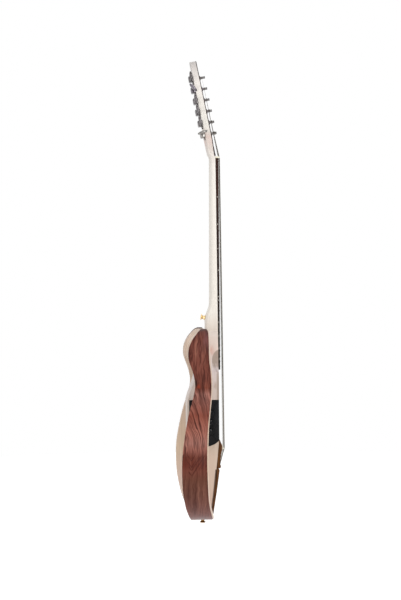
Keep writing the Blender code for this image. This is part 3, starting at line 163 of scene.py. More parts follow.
# Neck: one piece of hard maple from the heel to the tip of the head, carved, sanded and given a
# thin satin lacquer. The back rounds off into the square head behind the nut, which tilts back.
SCALE = 0.648
SADDLE_Z = -SCALE
FIT = 0.0003
FRET_COUNT = 22
NUT_WIDTH = 0.043
NUT_END = 0.0043
BOARD_PAST_FRETS = 0.0077
BOARD_END_WIDTH = 0.0565
BOARD_AT_NUT = 0.007
BOARD_AT_HEEL = 0.005
NECK_END = SADDLE_Z + 0.262
HEEL_FULL = SADDLE_Z + 0.284
HEEL_START = SADDLE_Z + 0.324
HEEL_SWELL = 0.010
BACK_AT_NUT = 0.0205
BACK_AT_HEEL = 0.023
SIDE_FLAT = 0.002
HEAD_TILT = math.radians(10.1)
HEAD_DROP = 0.0068
HEAD_LENGTH = 0.2275
HEAD_THICK = 0.015
HEAD_UP = Vector((0.0, math.sin(HEAD_TILT), math.cos(HEAD_TILT)))
HEAD_OUT = Vector((0.0, -math.cos(HEAD_TILT), math.sin(HEAD_TILT)))
VENEER = 0.0015
BASS_TIP_RADIUS = 0.008
TREBLE_TIP_RADIUS = 0.010
FLARE_START = 0.012
FLARE_END = 0.060
BASS_FLARE = 0.034
TREBLE_FLARE = 0.045
TREBLE_SWELL = 0.0115
GAUGES = (0.00135, 0.00107, 0.00081, 0.00061, 0.00041, 0.0003)
LAST_STRING = len(GAUGES) - 1
STRINGS_AT_NUT = 0.0355
STRINGS_AT_SADDLE = 0.0525
POST_FIRST = 0.0558
POST_TO_TIP = 0.040
POST_SPACING = (HEAD_LENGTH - POST_TO_TIP - POST_FIRST) / LAST_STRING
POST_INSET = 0.013
POST_WAIST = 0.0025


def between(low, high, share):
    """The value a share of the way from low to high."""
    return low + (high - low) * share


def ease(share):
    """Goes from 0 to 1 with level ends."""
    share = min(max(share, 0.0), 1.0)
    return share * share * (3.0 - 2.0 * share)


def fret_z(number):
    """Each fret shortens the string by a twelfth root of two."""
    return -SCALE * (1.0 - 2.0 ** (-number / 12.0))


BOARD_END = fret_z(FRET_COUNT) - BOARD_PAST_FRETS


def board_half(z):
    return between(NUT_WIDTH, BOARD_END_WIDTH, z / BOARD_END) / 2.0


def board_underside(z):
    return between(BOARD_AT_NUT, BOARD_AT_HEEL, min(z / NECK_END, 1.0))


def neck_back(z):
    """The back of the neck, with the heel's swell at its end."""
    swell = HEEL_SWELL * ease((HEEL_START - z) / (HEEL_START - HEEL_FULL))
    return between(BACK_AT_NUT, BACK_AT_HEEL, min(z / HEEL_START, 1.0)) + swell


def on_head(x, up, out):
    """A point given across the head, along it from the nut, and out from its front."""
    return Vector((x, HEAD_DROP, 0.0)) + HEAD_UP * up + HEAD_OUT * out


def string_x(number, z):
    """Across: the strings spread evenly, wider at the saddle than at the nut."""
    return (number / LAST_STRING - 0.5) * between(STRINGS_AT_NUT, STRINGS_AT_SADDLE, -z / SCALE)


def post_spot(number):
    """Across and along the head: each post stands so that its string runs straight from the nut."""
    up = POST_FIRST + POST_SPACING * number
    return string_x(number, up * HEAD_UP.z) - POST_WAIST - FIT - GAUGES[number] / 2.0, up


def bass_edge(up):
    """The head's bass side: a flare from the nut, then a straight line beside the posts."""
    low, high = post_spot(0), post_spot(LAST_STRING)
    line = between(low[0], high[0], (up - low[1]) / (high[1] - low[1])) - POST_INSET
    return between(-NUT_WIDTH / 2.0, line, ease((up - FLARE_START) / BASS_FLARE))


def treble_edge(up):
    return NUT_WIDTH / 2.0 + TREBLE_SWELL * ease((up - FLARE_START) / TREBLE_FLARE)


def tip_corner(up, radius):
    """How far a round corner of the head's tip has turned in, at a height on the head."""
    turned_in = max(0.0, 1.0 - math.sqrt(max(HEAD_LENGTH - up, 0.0) / radius))
    return radius * turned_in ** 2


def skin(rings, shape=None, closed=False):
    """Faces over a row of rings with equal point counts, its ends capped unless it is closed."""
    shape = shape or bmesh.new()
    rows = [[shape.verts.new(point) for point in ring] for ring in rings]
    pairs = list(zip(rows, rows[1:]))
    if closed:
        pairs.append((rows[-1], rows[0]))
    for low, high in pairs:
        for spot in range(len(low)):
            after = (spot + 1) % len(low)
            shape.faces.new((low[spot], low[after], high[after], high[spot]))
    if not closed:
        shape.faces.new(list(reversed(rows[0])))
        shape.faces.new(rows[-1])
    return shape


SHARP_ANGLE = 40.0


def meshed(name, shape, sharp=SHARP_ANGLE):
    """A finished shape as a mesh, its faces outward and shaded smooth between sharp edges."""
    bmesh.ops.recalc_face_normals(shape, faces=shape.faces)
    mesh = bpy.data.meshes.new(name)
    shape.to_mesh(mesh)
    shape.free()
    mesh.shade_smooth()
    mesh.set_sharp_from_angle(angle=math.radians(sharp))
    return mesh


def piece(name, shape, material, sharp=SHARP_ANGLE):
    """A named object in the scene, made of a finished shape."""
    made = bpy.data.objects.new(name, meshed(name, shape, sharp))
    made.data.materials.append(material)
    bpy.context.scene.collection.objects.link(made)
    return made


def dress(made, slot, *nodes, body="instrument"):
    """Hands a piece to the body it moves with, in place of the solids it stands for."""
    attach(made, body)
    if nodes:
        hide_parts(*nodes)
    return made


def coordinates(tree, source="Object"):
    """Each point's own place on the piece."""
    return wire(tree, "ShaderNodeTexCoord").outputs[source]


def parted(tree, vector):
    """The three numbers of a vector."""
    return wire(tree, "ShaderNodeSeparateXYZ", {0: vector}).outputs


def noise(tree, place, scale, detail, roughness=0.5, distortion=0.0):
    """Cloudy noise from 0 to 1."""
    return wire(tree, "ShaderNodeTexNoise", {
        "Vector": place, "Scale": scale, "Detail": detail, "Roughness": roughness,
        "Distortion": distortion}).outputs["Fac"]


def bumps(tree, height, strength, distance):
    """Small relief for a shader's normal."""
    relief = {"Height": height, "Strength": strength, "Distance": distance}
    return wire(tree, "ShaderNodeBump", relief).outputs[0]


def blended(tree, share, first, second, how="MIX"):
    """Two colours laid over each other."""
    return wire(tree, "ShaderNodeMixRGB", {"Fac": share, "Color1": first, "Color2": second},
                blend_type=how).outputs["Color"]


def colour_ramp(tree, value, stops):
    """Colours along a value, given as (position, colour) from low to high."""
    ramp = wire(tree, "ShaderNodeValToRGB", {"Fac": value})
    elements = ramp.color_ramp.elements
    for position, _ in stops[1:-1]:
        elements.new(position)
    for element, (position, colour) in zip(elements, stops):
        element.position = position
        element.color = colour
    return ramp.outputs["Color"]


def by_height(tree, stops):
    """Colours that change with height, given as (height, screen values) from low to high."""
    low, high = stops[0][0], stops[-1][0]
    share = ranged(tree, parted(tree, coordinates(tree))["Z"], low, high, soft=False)
    return colour_ramp(tree, share, [((at - low) / (high - low), tone(*colour)) for at, colour in stops])


def grained(name, pale, dark, scale, roughness, pores=0.25, source="Object", gloss=0.5, tints=()):
    """Lacquered wood, its grain drawn out along the axis where its scale is lowest. Its colour, which
    is returned too, is multiplied by tints that change with height."""
    material, tree, shader = blank(name)
    place = coordinates(tree, source)
    drawn = wire(tree, "ShaderNodeMapping", {"Vector": place, "Scale": scale}).outputs[0]
    bend = wire(tree, "ShaderNodeTexNoise", {"Vector": drawn, "Scale": 0.35, "Detail": 2.0})
    moved = {0: drawn, 1: bend.outputs["Color"]}
    flow = wire(tree, "ShaderNodeVectorMath", moved, operation="ADD").outputs[0]
    fibre = noise(tree, flow, 1.0, 5.0, roughness=0.62, distortion=0.3)
    colour = colour_ramp(tree, fibre, ((0.32, dark), (0.62, pale)))
    if tints:
        colour = blended(tree, 1.0, colour, by_height(tree, tints), "MULTIPLY")
    fine = noise(tree, flow, 4.5, 3.0)
    feed(shader, {"Base Color": colour, "Specular IOR Level": gloss,
                  "Roughness": ranged(tree, fine, 0.0, 1.0, roughness - 0.06, roughness + 0.10, soft=False),
                  "Normal": bumps(tree, fine, pores, 0.0002)})
    return material, colour


def around(tree, place, centre, reach):
    """A place measured from a centre in units of a reach, and how far it lies from there."""
    local = wire(tree, "ShaderNodeMapping", {"Vector": place, "Location": centre, "Scale": reach},
                 vector_type="TEXTURE").outputs[0]
    return local, wire(tree, "ShaderNodeVectorMath", {0: local}, operation="LENGTH").outputs["Value"]


def stain(material, colour, *spots):
    """Blends ragged soft spots into a material, each a centre, a reach, screen values and a strength."""
    tree = material.node_tree
    for centre, reach, spot_colour, strength in spots:
        local, far = around(tree, coordinates(tree), centre, reach)
        ragged = calc(tree, "ADD", far, noise(tree, local, 1.6, 3.0))
        share = ranged(tree, ragged, 0.6, 1.6, strength, 0.0)
        colour = blended(tree, share, colour, tone(*spot_colour))
    feed(tree.nodes["Principled BSDF"], {"Base Color": colour})


# Painted shade: the tints by height darken the heel and the head just past the nut, and grey the head's
# tip.
neck_maple, neck_colour = grained(
    "neck_maple", tone(241, 237, 231), tone(235, 230, 223), (90.0, 90.0, 5.0), 0.42, pores=0.06, tints=(
        (NECK_END, (228, 219, 212)), (-0.345, (243, 240, 236)), (-0.020, (248, 246, 244)),
        (0.012, (230, 226, 224)), (0.045, (226, 220, 217)), (0.080, (255, 255, 252)),
        (0.180, (255, 252, 252)), (0.222, (194, 192, 194))))
stain(neck_maple, neck_colour, ((0.0, 0.02, 0.038), (0.06, 0.06, 0.028), (206, 176, 166), 0.8))


NECK_STEPS = 28


def neck_section(half, depth, square):
    """Flat-topped section as (x, depth) pairs, rounder where square is low."""
    section = [(-half, 0.0), (-half, SIDE_FLAT * 0.5)]
    for step in range(NECK_STEPS + 1):
        angle = math.pi * step / NECK_STEPS
        across = math.cos(angle)
        x = -half * math.copysign(abs(across) ** (2.0 / square), across)
        section.append((x, SIDE_FLAT + (depth - SIDE_FLAT) * abs(math.sin(angle)) ** (2.0 / square)))
    return section + [(half, SIDE_FLAT * 0.5), (half, 0.0)]


def neck_ring(z, half, top, back, square):
    return [Vector((x, top + down, z)) for x, down in neck_section(half, back - top, square)]


HEAD_WOOD = VENEER + FIT
NUT_SHELF = BOARD_AT_NUT + FIT
LIP_SLOPE = 0.00002
LIP_RISE = 0.0004
HEEL_STEPS = 14
TIP_STEPS = 5
# How square a section is: 2 is an ellipse, and more comes nearer to a box
NECK_SQUARE = 2.3
HEEL_SQUARE = 5.0
HEEL_BLEND_START = HEEL_START + 0.03
HEEL_BLEND_LENGTH = 0.07
THROAT_SQUARE = 4.0
HEAD_SQUARE = 14.0
HEAD_BLEND_START = 0.006
HEAD_BLEND_LENGTH = 0.022
heights = [NECK_END - FIT, between(NECK_END, HEEL_FULL, 0.5), HEEL_FULL]
heights += [between(HEEL_FULL, HEEL_START, step / HEEL_STEPS) for step in range(1, HEEL_STEPS + 1)]
heights += [HEEL_START * share for share in (0.93, 0.8, 0.65, 0.5, 0.35, 0.2, 0.1, 0.05, 0.02)]
neck_rings = []
for z in heights:
    square = between(NECK_SQUARE, HEEL_SQUARE, ease((HEEL_BLEND_START - z) / HEEL_BLEND_LENGTH))
    neck_rings.append(neck_ring(z, board_half(z), board_underside(z) + FIT, neck_back(z), square))
for z, square in ((-0.005, 2.7), (0.0, 3.0), (NUT_END, 3.5)):
    back = BACK_AT_NUT + max(z, 0.0) * math.tan(HEAD_TILT)
    neck_rings.append(neck_ring(z, NUT_WIDTH / 2, NUT_SHELF, back, square))
# Past the nut the shelf drops to the head's front, its points kept a hair apart
lip = HEAD_DROP + NUT_END * math.tan(HEAD_TILT) + HEAD_WOOD / math.cos(HEAD_TILT)
last = len(neck_rings[-1]) - 1
lip_ring = []
for spot, point in enumerate(neck_rings[-1]):
    lowered = max(point.y, lip + LIP_SLOPE * min(spot, last - spot))
    lip_ring.append(Vector((point.x, lowered, NUT_END + LIP_RISE)))
neck_rings.append(lip_ring)
tip = [HEAD_LENGTH - TREBLE_TIP_RADIUS * (1 - step / TIP_STEPS) ** 2 for step in range(TIP_STEPS + 1)]
for up in [FLARE_START, 0.016, 0.020, 0.024, 0.030, 0.037, 0.044, 0.051, FLARE_END, 0.11, 0.16] + tip:
    square = between(THROAT_SQUARE, HEAD_SQUARE, ease((up - HEAD_BLEND_START) / HEAD_BLEND_LENGTH))
    low = bass_edge(up) + tip_corner(up, BASS_TIP_RADIUS)
    high = treble_edge(up) - tip_corner(up, TREBLE_TIP_RADIUS)
    section = neck_section((high - low) / 2, HEAD_THICK - HEAD_WOOD, square)
    neck_rings.append([on_head((low + high) / 2 + x, up, -HEAD_WOOD - down) for x, down in section])
dress(piece("neck_and_head", skin(neck_rings), neck_maple), "maple", "neck")

# Head veneer: a thin leaf of dark wood glued to the head's front, its edge left showing as a dark
# line, and the small black cover of the truss rod's pocket, held by three screws.
VENEER_START = 0.0055
VENEER_EASE = 0.0003
FLARE_STEPS = 14
CORNER_STEPS = 6


def head_outline(margin):
    """The veneer from the front as (across, along) pairs, drawn in by a margin."""
    flare = [between(VENEER_START, FLARE_END, step / FLARE_STEPS) for step in range(FLARE_STEPS + 1)]
    lifts = [margin] + [0.0] * FLARE_STEPS
    corners = []
    for radius, edge, side in ((TREBLE_TIP_RADIUS, treble_edge(HEAD_LENGTH) - margin, 1),
                               (BASS_TIP_RADIUS, bass_edge(HEAD_LENGTH) + margin, -1)):
        bend = []
        for step in range(CORNER_STEPS + 1):
            share = step / CORNER_STEPS
            bend.append((edge - side * radius * share ** 2,
                         HEAD_LENGTH - margin - radius * (1 - share) ** 2))
        corners += bend if side > 0 else list(reversed(bend))
    treble = [(treble_edge(up) - margin, up + lift) for up, lift in zip(flare, lifts)]
    bass = [(bass_edge(up) + margin, up + lift) for up, lift in zip(flare, lifts)]
    return treble + corners + list(reversed(bass))


veneer_wood, _ = grained("veneer_wood", tone(60, 46, 40), tone(32, 24, 21), (260.0, 260.0, 14.0), 0.42,
                         gloss=0.1)
veneer_rings = [[on_head(x, up, out) for x, up in head_outline(margin)]
                for out, margin in ((-VENEER, 0.0), (-VENEER_EASE, 0.0), (0.0, VENEER_EASE))]
dress(piece("head_veneer", skin(veneer_rings), veneer_wood), "ebony", "headstock_overlay")


def moulded(name, colour, roughness, grain=900.0, depth=0.00006, metallic=0.0, tints=(), more=None):
    """Moulded or cast stuff with a fine even grain in its gloss and its surface. Its tints change
    with height, and more is for other inputs of its shader."""
    material, tree, shader = blank(name)
    place = coordinates(tree)
    speck = noise(tree, place, grain, 3.0)
    cloud = noise(tree, place, 60.0, 3.0)
    worn = ranged(tree, cloud, 0.3, 0.7, 0.88, 1.0, soft=False)
    shade = wire(tree, "ShaderNodeVectorMath", {0: colour[:3], "Scale": worn},
                 operation="SCALE").outputs["Vector"]
    if tints:
        shade = blended(tree, 1.0, shade, by_height(tree, tints), "MULTIPLY")
    feed(shader, {"Base Color": shade, "Metallic": metallic, "Normal": bumps(tree, speck, 0.4, depth),
                  "Roughness": ranged(tree, cloud, 0.3, 0.7, roughness * 0.8, roughness * 1.2, soft=False)})
    feed(shader, more or {})
    return material


WELD = 0.000002
FLAT_ENOUGH = math.radians(0.5)


def softened(node, name, width, material, corner=35.0, below=1.0):
    """A copy of a solid's mesh with its sharp edges below a height eased, as by sanding or a mould."""
    shape = bmesh.new()
    shape.from_mesh(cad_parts[node].data)
    bmesh.ops.remove_doubles(shape, verts=shape.verts, dist=WELD)
    bmesh.ops.dissolve_limit(shape, angle_limit=FLAT_ENOUGH, verts=shape.verts, edges=shape.edges)
    edges = [edge for edge in shape.edges
             if len(edge.link_faces) == 2 and edge.calc_face_angle() > math.radians(corner)
             and min(vert.co.z for vert in edge.verts) < below]
    bmesh.ops.bevel(shape, geom=edges, offset=width, segments=2, profile=0.5, affect="EDGES",
                    clamp_overlap=True)
    return piece(name, shape, material)


black_plastic = moulded("black_plastic", tone(30, 30, 32), 0.42)
dress(softened("truss_rod_cover", "truss_cover_plate", 0.0003, black_plastic), "black_plastic",
      "truss_rod_cover")

# Fingerboard: an open-pored dark board glued to the neck, its front crowned across, with the
# corners played in. Nickel silver frets are pressed into sawn slots, pale dots inlaid in its edge.
BOARD_RADIUS = 0.4
BOARD_CORNER = 0.0006
FRET_HALF = 0.0012
FRET_TALL = 0.0008
FRET_INSET = 0.0003
FRET_END_TAPER = 0.7
DOT_RADIUS = 0.001
DOUBLE_DOT = 0.004


def crown(x):
    """How far the crowned front falls back beside the middle."""
    return x * x / (2 * BOARD_RADIUS)


def board_section(z):
    """The board's section, with a played-in corner where the crowned front meets each side."""
    half = board_half(z)
    turns = [math.radians(angle) for angle in (90, 60, 30, 0)]
    corner = [(half - BOARD_CORNER * (1 - math.sin(angle)), BOARD_CORNER * (1 - math.cos(angle)))
              for angle in turns]
    half_section = [(half, board_underside(z))] + [(x, crown(x) + rise) for x, rise in corner]
    half_section += [(half * share, crown(half * share)) for share in (0.8, 0.55, 0.3, 0.1)]
    return half_section + [(-x, y) for x, y in reversed(half_section)]


ebony, _ = grained(
    "ebony", tone(58, 38, 30), tone(30, 16, 12), (420.0, 420.0, 16.0), 0.5, pores=0.5, gloss=0.1, tints=(
        (BOARD_END, (120, 120, 126)), (-0.33, (150, 150, 156)), (-0.16, (232, 232, 236)),
        (-0.06, (255, 232, 222)), (0.02, (255, 238, 230))))
board_rings = [[Vector((x, y, z)) for x, y in board_section(z)]
               for z in (BOARD_END, BOARD_END + 0.001, NECK_END, NECK_END * 0.66, NECK_END * 0.33, 0.0)]
dress(piece("fingerboard_wood", skin(board_rings), ebony), "ebony", "fingerboard")


def settled(made):
    """The object's modifiers turned into plain mesh, and the modifiers taken off."""
    bpy.context.view_layer.update()
    ready = made.evaluated_get(bpy.context.evaluated_depsgraph_get())
    mesh = bpy.data.meshes.new_from_object(ready)
    made.modifiers.clear()
    made.data = mesh
    return made


def repeating_tree(name, label, sizes=()):
    """A Geometry Nodes tree with inputs for a shape to repeat, its material and its sizes."""
    tree = bpy.data.node_groups.new(name, "GeometryNodeTree")
    for title, kind in (("Geometry", "Geometry"), (label, "Object"), ("Material", "Material"), *sizes):
        tree.interface.new_socket(title, in_out="INPUT", socket_type=f"NodeSocket{kind}")
    tree.interface.new_socket("Geometry", in_out="OUTPUT", socket_type="NodeSocketGeometry")
    return tree, wire(tree, "NodeGroupInput").outputs


def repeated(tree, shape, points, **placing):
    """Sets a shape on every point, and makes the copies real."""
    model = wire(tree, "GeometryNodeObjectInfo", {"Object": shape}).outputs["Geometry"]
    laid = wire(tree, "GeometryNodeInstanceOnPoints", {"Points": points, "Instance": model, **placing})
    return wire(tree, "GeometryNodeRealizeInstances", {0: laid.outputs[0]}).outputs[0]


def end_tree(tree, geometry, material):
    """Gives the copies their material and ends the tree."""
    painted = wire(tree, "GeometryNodeSetMaterial", {"Geometry": geometry, "Material": material})
    wire(tree, "NodeGroupOutput", {0: painted.outputs[0]})


def grown(name, carrier, tree, values):
    """Runs a tree on a carrier mesh and keeps the result as a plain piece."""
    made = bpy.data.objects.new(name, carrier)
    bpy.context.scene.collection.objects.link(made)
    modifier = made.modifiers.new(tree.name, "NODES")
    modifier.node_group = tree
    sockets = {item.name: item.identifier for item in tree.interface.items_tree if item.in_out == "INPUT"}
    for label, value in values.items():
        modifier[sockets[label]] = value
    return settled(made)


fret_tree, given = repeating_tree("frets", "Fret", (
    ("Count", "Int"), ("String Scale", "Float"), ("Width at Nut", "Float"), ("Widening", "Float"),
    ("Crown Radius", "Float")))
row = wire(fret_tree, "GeometryNodePoints", {"Count": given["Count"]}).outputs[0]
number = calc(fret_tree, "ADD", wire(fret_tree, "GeometryNodeInputIndex").outputs[0], 1.0)
left = calc(fret_tree, "POWER", 2.0, calc(fret_tree, "DIVIDE", number, -12.0))
height = calc(fret_tree, "MULTIPLY", calc(fret_tree, "SUBTRACT", left, 1.0), given["String Scale"])
spot = wire(fret_tree, "ShaderNodeCombineXYZ", {"Z": height}).outputs[0]
placed = wire(fret_tree, "GeometryNodeSetPosition", {"Geometry": row, "Position": spot}).outputs[0]
wide = calc(fret_tree, "ADD", calc(fret_tree, "MULTIPLY", height, given["Widening"]), given["Width at Nut"])
spread = wire(fret_tree, "ShaderNodeCombineXYZ", {"X": wide, "Y": 1.0, "Z": 1.0}).outputs[0]
real = repeated(fret_tree, given["Fret"], placed, Scale=spread)
across = parted(fret_tree, wire(fret_tree, "GeometryNodeInputPosition").outputs[0])["X"]
fall = calc(fret_tree, "DIVIDE", calc(fret_tree, "MULTIPLY", across, across),
            calc(fret_tree, "MULTIPLY", given["Crown Radius"], 2.0))
shift = wire(fret_tree, "ShaderNodeCombineXYZ", {"Y": fall}).outputs[0]
crowned = wire(fret_tree, "GeometryNodeSetPosition", {"Geometry": real, "Offset": shift}).outputs[0]
end_tree(fret_tree, crowned, given["Material"])

# A fret one metre wide, which the tree scales: a half round wire, its feet set into the board
fret_bar = []
for x in [share / 10 for share in range(-5, 6)]:
    reach = FRET_HALF * (1.0 if abs(x) < 0.5 else FRET_END_TAPER)
    ring = []
    for step in range(7):
        angle = math.pi * step / 6
        sunk = FRET_INSET if step in (0, 6) else 0.0
        ring.append(Vector((x, sunk - FRET_TALL * math.sin(angle), reach * math.cos(angle))))
    fret_bar.append(ring)
fret_metal = moulded("fret_metal", tone(150, 145, 136), 0.25, metallic=1.0)
frets = grown("frets", bpy.data.meshes.new("fret_carrier"), fret_tree, {
    "Fret": bpy.data.objects.new("fret_bar", meshed("fret_bar", skin(fret_bar))), "Material": fret_metal,
    "Count": FRET_COUNT, "String Scale": SCALE, "Width at Nut": NUT_WIDTH - BOARD_CORNER,
    "Widening": (BOARD_END_WIDTH - NUT_WIDTH) / BOARD_END, "Crown Radius": BOARD_RADIUS})
dress(frets, "nickel")

dot_tree, given = repeating_tree("edge_dots", "Dot")
end_tree(dot_tree, repeated(dot_tree, given["Dot"], given["Geometry"]), given["Material"])
dot_spots = []
for number in (3, 5, 7, 9, 12, 15, 17, 19, 21):
    middle = (fret_z(number) + fret_z(number - 1)) / 2
    for z in ((middle - DOUBLE_DOT, middle + DOUBLE_DOT) if number == 12 else (middle,)):
        dot_spots.append((-board_half(z), (crown(board_half(z)) + board_underside(z)) / 2, z))
dot_mesh = bpy.data.meshes.new("dot_carrier")
dot_mesh.from_pydata(dot_spots, [], [])
edge_dot = [[Vector((x, radius * math.cos(math.pi * step / 8), radius * math.sin(math.pi * step / 8)))
             for step in range(16)]
            for x, radius in ((0.0004, DOT_RADIUS), (-0.00002, DOT_RADIUS), (-0.00006, DOT_RADIUS * 0.8))]
dots = grown("edge_dots", dot_mesh, dot_tree, {
    "Dot": bpy.data.objects.new("edge_dot", meshed("edge_dot", skin(edge_dot))),
    "Material": moulded("dot_shell", tone(190, 184, 172), 0.3)})
dress(dots, "bone")

# Nut: a slip of bleached bone glued across the neck's end, filed to a slot for each string
# and polished. The light sinks a little way into it.
bone = moulded("bone", tone(224, 217, 197), 0.3, grain=1600.0,
               more={"Subsurface Weight": 0.15, "Subsurface Radius": (0.002, 0.0015, 0.001)})
dress(softened("nut", "nut_bone", 0.00025, bone), "bone", "nut")

# Tuners: six sealed die-cast machines under a dark chrome plating. Each case is screwed to the
# head's back, its post comes through a threaded barrel, and a washer and hex nut hold the front.
CASE_BACK = -HEAD_THICK - FIT
CASE_DEPTH = 0.0098
CASE_HALF = (0.010, 0.007)
CASE_CORNER = 0.0022
CASE_PROFILE = ((0.0, 0.97), (0.0006, 1.0), (0.0070, 1.0), (0.0084, 0.96), (0.0093, 0.88),
                (CASE_DEPTH, 0.76))
EAR_HALF = (0.003, 0.0035)
EAR_CORNER = 0.0028
EAR_AWAY = (-0.003, -0.0095)
EAR_SINK = 0.0001
EAR_THICK = 0.0017
EAR_SCREW_AWAY = (-0.003, -0.010)
CASE_SCREW = ((0.0021, 0.0), (0.0021, 0.0006), (0.0016, 0.0011), (0.0006, 0.0013), (0.0006, 0.0007))
BARREL_BORE = 0.0033
WASHER_TALL = 0.0009
NUT_TALL = 0.0022
BARREL = ((BARREL_BORE, -0.004), (0.0045, -0.004), (0.0045, FIT), (0.0054, FIT), (0.0054, 0.0007),
          (0.0051, WASHER_TALL), (BARREL_BORE, WASHER_TALL))
FRONT_NUT = ((BARREL_BORE, WASHER_TALL), (0.0043, WASHER_TALL), (0.0045, 0.0011), (0.0045, 0.0019),
             (0.0042, NUT_TALL), (BARREL_BORE, NUT_TALL))
SHAFT_ABOVE_POST = 0.003
SHAFT_COLLAR = ((0.0028, -0.001), (0.0038, -0.001), (0.0038, 0.0012), (0.0034, 0.0018), (0.0028, 0.0018))
POST_TALL = 0.0126
WRAP_TALL = 0.0062
POST = ((0.003, CASE_BACK + 0.001), (0.003, WRAP_TALL - 0.0021), (0.0028, WRAP_TALL - 0.0014),
        (POST_WAIST, WRAP_TALL - 0.0008), (POST_WAIST, POST_TALL - 0.0022), (0.0028, POST_TALL - 0.0014),
        (0.0029, POST_TALL - 0.0008), (0.0026, POST_TALL - 0.0002), (0.0021, POST_TALL))
STRING_HOLE = ((0.0007, -0.006), (0.0007, 0.006))
HOLE_BELOW_TOP = 0.0030
BUTTON_TURNS = (-80.0, 4.0, 6.0, -5.0, 35.0, -3.0)
BUTTON = ((-0.001, 0.0025, 0.0025), (0.0070, 0.0025, 0.0025), (0.0078, 0.0030, 0.0032),
          (0.0088, 0.0029, 0.0040), (0.0098, 0.0030, 0.0060), (0.0112, 0.0031, 0.0083),
          (0.0130, 0.0032, 0.0101), (0.0150, 0.00325, 0.0112), (0.0176, 0.00325, 0.0115),
          (0.0200, 0.0032, 0.0108), (0.0218, 0.0030, 0.0095), (0.0231, 0.0026, 0.0077),
          (0.0238, 0.0019, 0.0060), (0.0240, 0.0011, 0.0042))
BUTTON_SCREW = ((0.0018, -0.001), (0.0018, 0.0003), (0.0015, 0.0006), (0.0005, 0.0006), (0.0005, 0.0002))
BUTTON_SCREW_AT = 0.0239
BUTTON_SIDES = 32
BUTTON_FULLNESS = 0.8
FLUTES = 24
FLUTE_DEPTH = 0.00018


def rounded_frame(half_x, half_y, radius, steps=4):
    """A rectangle with round corners, as (x, y) points running counterclockwise."""
    points = []
    for spot, (side_x, side_y) in enumerate(((1, 1), (-1, 1), (-1, -1), (1, -1))):
        for step in range(steps + 1):
            angle = math.pi / 2 * (spot + step / steps)
            points.append((side_x * (half_x - radius) + radius * math.cos(angle),
                           side_y * (half_y - radius) + radius * math.sin(angle)))
    return points


def aimed(origin, axis):
    """Placement whose local Z runs along an axis."""
    return Matrix.Translation(origin) @ Vector(axis).to_track_quat("Z", "Y").to_matrix().to_4x4()


def turned(profile, place, shape=None, steps=28, hexed=(), fluted=(), bore=False):
    """A lathed solid from (radius, height) pairs; named rows are cut to a hexagon or finely fluted."""
    rings = []
    for row, (radius, height) in enumerate(profile):
        ring = []
        for step in range(steps):
            angle = 2 * math.pi * step / steps
            reach = radius
            if row in hexed:
                reach /= math.cos((angle + math.pi / 6) % (math.pi / 3) - math.pi / 6)
            if row in fluted:
                reach += FLUTE_DEPTH * math.cos(FLUTES * angle)
            ring.append(place @ Vector((reach * math.cos(angle), reach * math.sin(angle), height)))
        rings.append(ring)
    return skin(rings, shape, closed=bore)


def cut(made, tool):
    """Takes a tool's shape out of a piece."""
    cutter = bpy.data.objects.new("tool", meshed("tool", tool))
    modifier = made.modifiers.new("cut", "BOOLEAN")
    modifier.operation = "DIFFERENCE"
    modifier.object = cutter
    material = made.data.materials[0]
    settled(made)
    made.data.materials.clear()
    made.data.materials.append(material)
    made.data.shade_smooth()
    made.data.set_sharp_from_angle(angle=math.radians(SHARP_ANGLE))
    bpy.data.objects.remove(cutter)
    return made


def plated(name, colour, roughness, tints=()):
    """Polished metal, its colour changed with height where tints are given."""
    return moulded(name, colour, roughness, grain=300.0, depth=0.00003, metallic=1.0, tints=tints)


def tuner_case(x, up, edge, front, side):
    """The case with its ear and screw, the barrel, washer and nut in front, and the shaft's collar."""
    case = skin([[on_head(edge + CASE_HALF[0] + a * share, up + b * share, CASE_BACK - deep)
                  for a, b in rounded_frame(*CASE_HALF, CASE_CORNER)] for deep, share in CASE_PROFILE])
    skin([[on_head(x + EAR_AWAY[0] + a, up + EAR_AWAY[1] + b, CASE_BACK - deep)
           for a, b in rounded_frame(*EAR_HALF, EAR_CORNER)] for deep in (EAR_SINK, EAR_THICK)], case)
    ear_screw = on_head(x + EAR_SCREW_AWAY[0], up + EAR_SCREW_AWAY[1], CASE_BACK - EAR_THICK + EAR_SINK)
    turned(CASE_SCREW, aimed(ear_screw, -HEAD_OUT), case, 16)
    turned(BARREL, front, case, bore=True)
    turned(FRONT_NUT, front, case, 36, hexed=(1, 2, 3), bore=True)
    return turned(SHAFT_COLLAR, side, case, bore=True)


def tuner_button(edge, shaft_up, shaft_out, side, lean):
    """An oval button on its shaft, turned by a lean, with the small screw in its end."""
    rings = []
    for reach, thick, wide in BUTTON:
        ring = []
        for step in range(BUTTON_SIDES):
            angle = 2 * math.pi * step / BUTTON_SIDES
            across = thick * math.copysign(abs(math.cos(angle)) ** BUTTON_FULLNESS, math.cos(angle))
            along = wide * math.copysign(abs(math.sin(angle)) ** BUTTON_FULLNESS, math.sin(angle))
            ring.append(on_head(edge - reach, shaft_up + across * math.sin(lean) + along * math.cos(lean),
                                shaft_out + across * math.cos(lean) - along * math.sin(lean)))
        rings.append(ring)
    return turned(BUTTON_SCREW, side @ Matrix.Translation((0.0, 0.0, BUTTON_SCREW_AT)), skin(rings), 20)


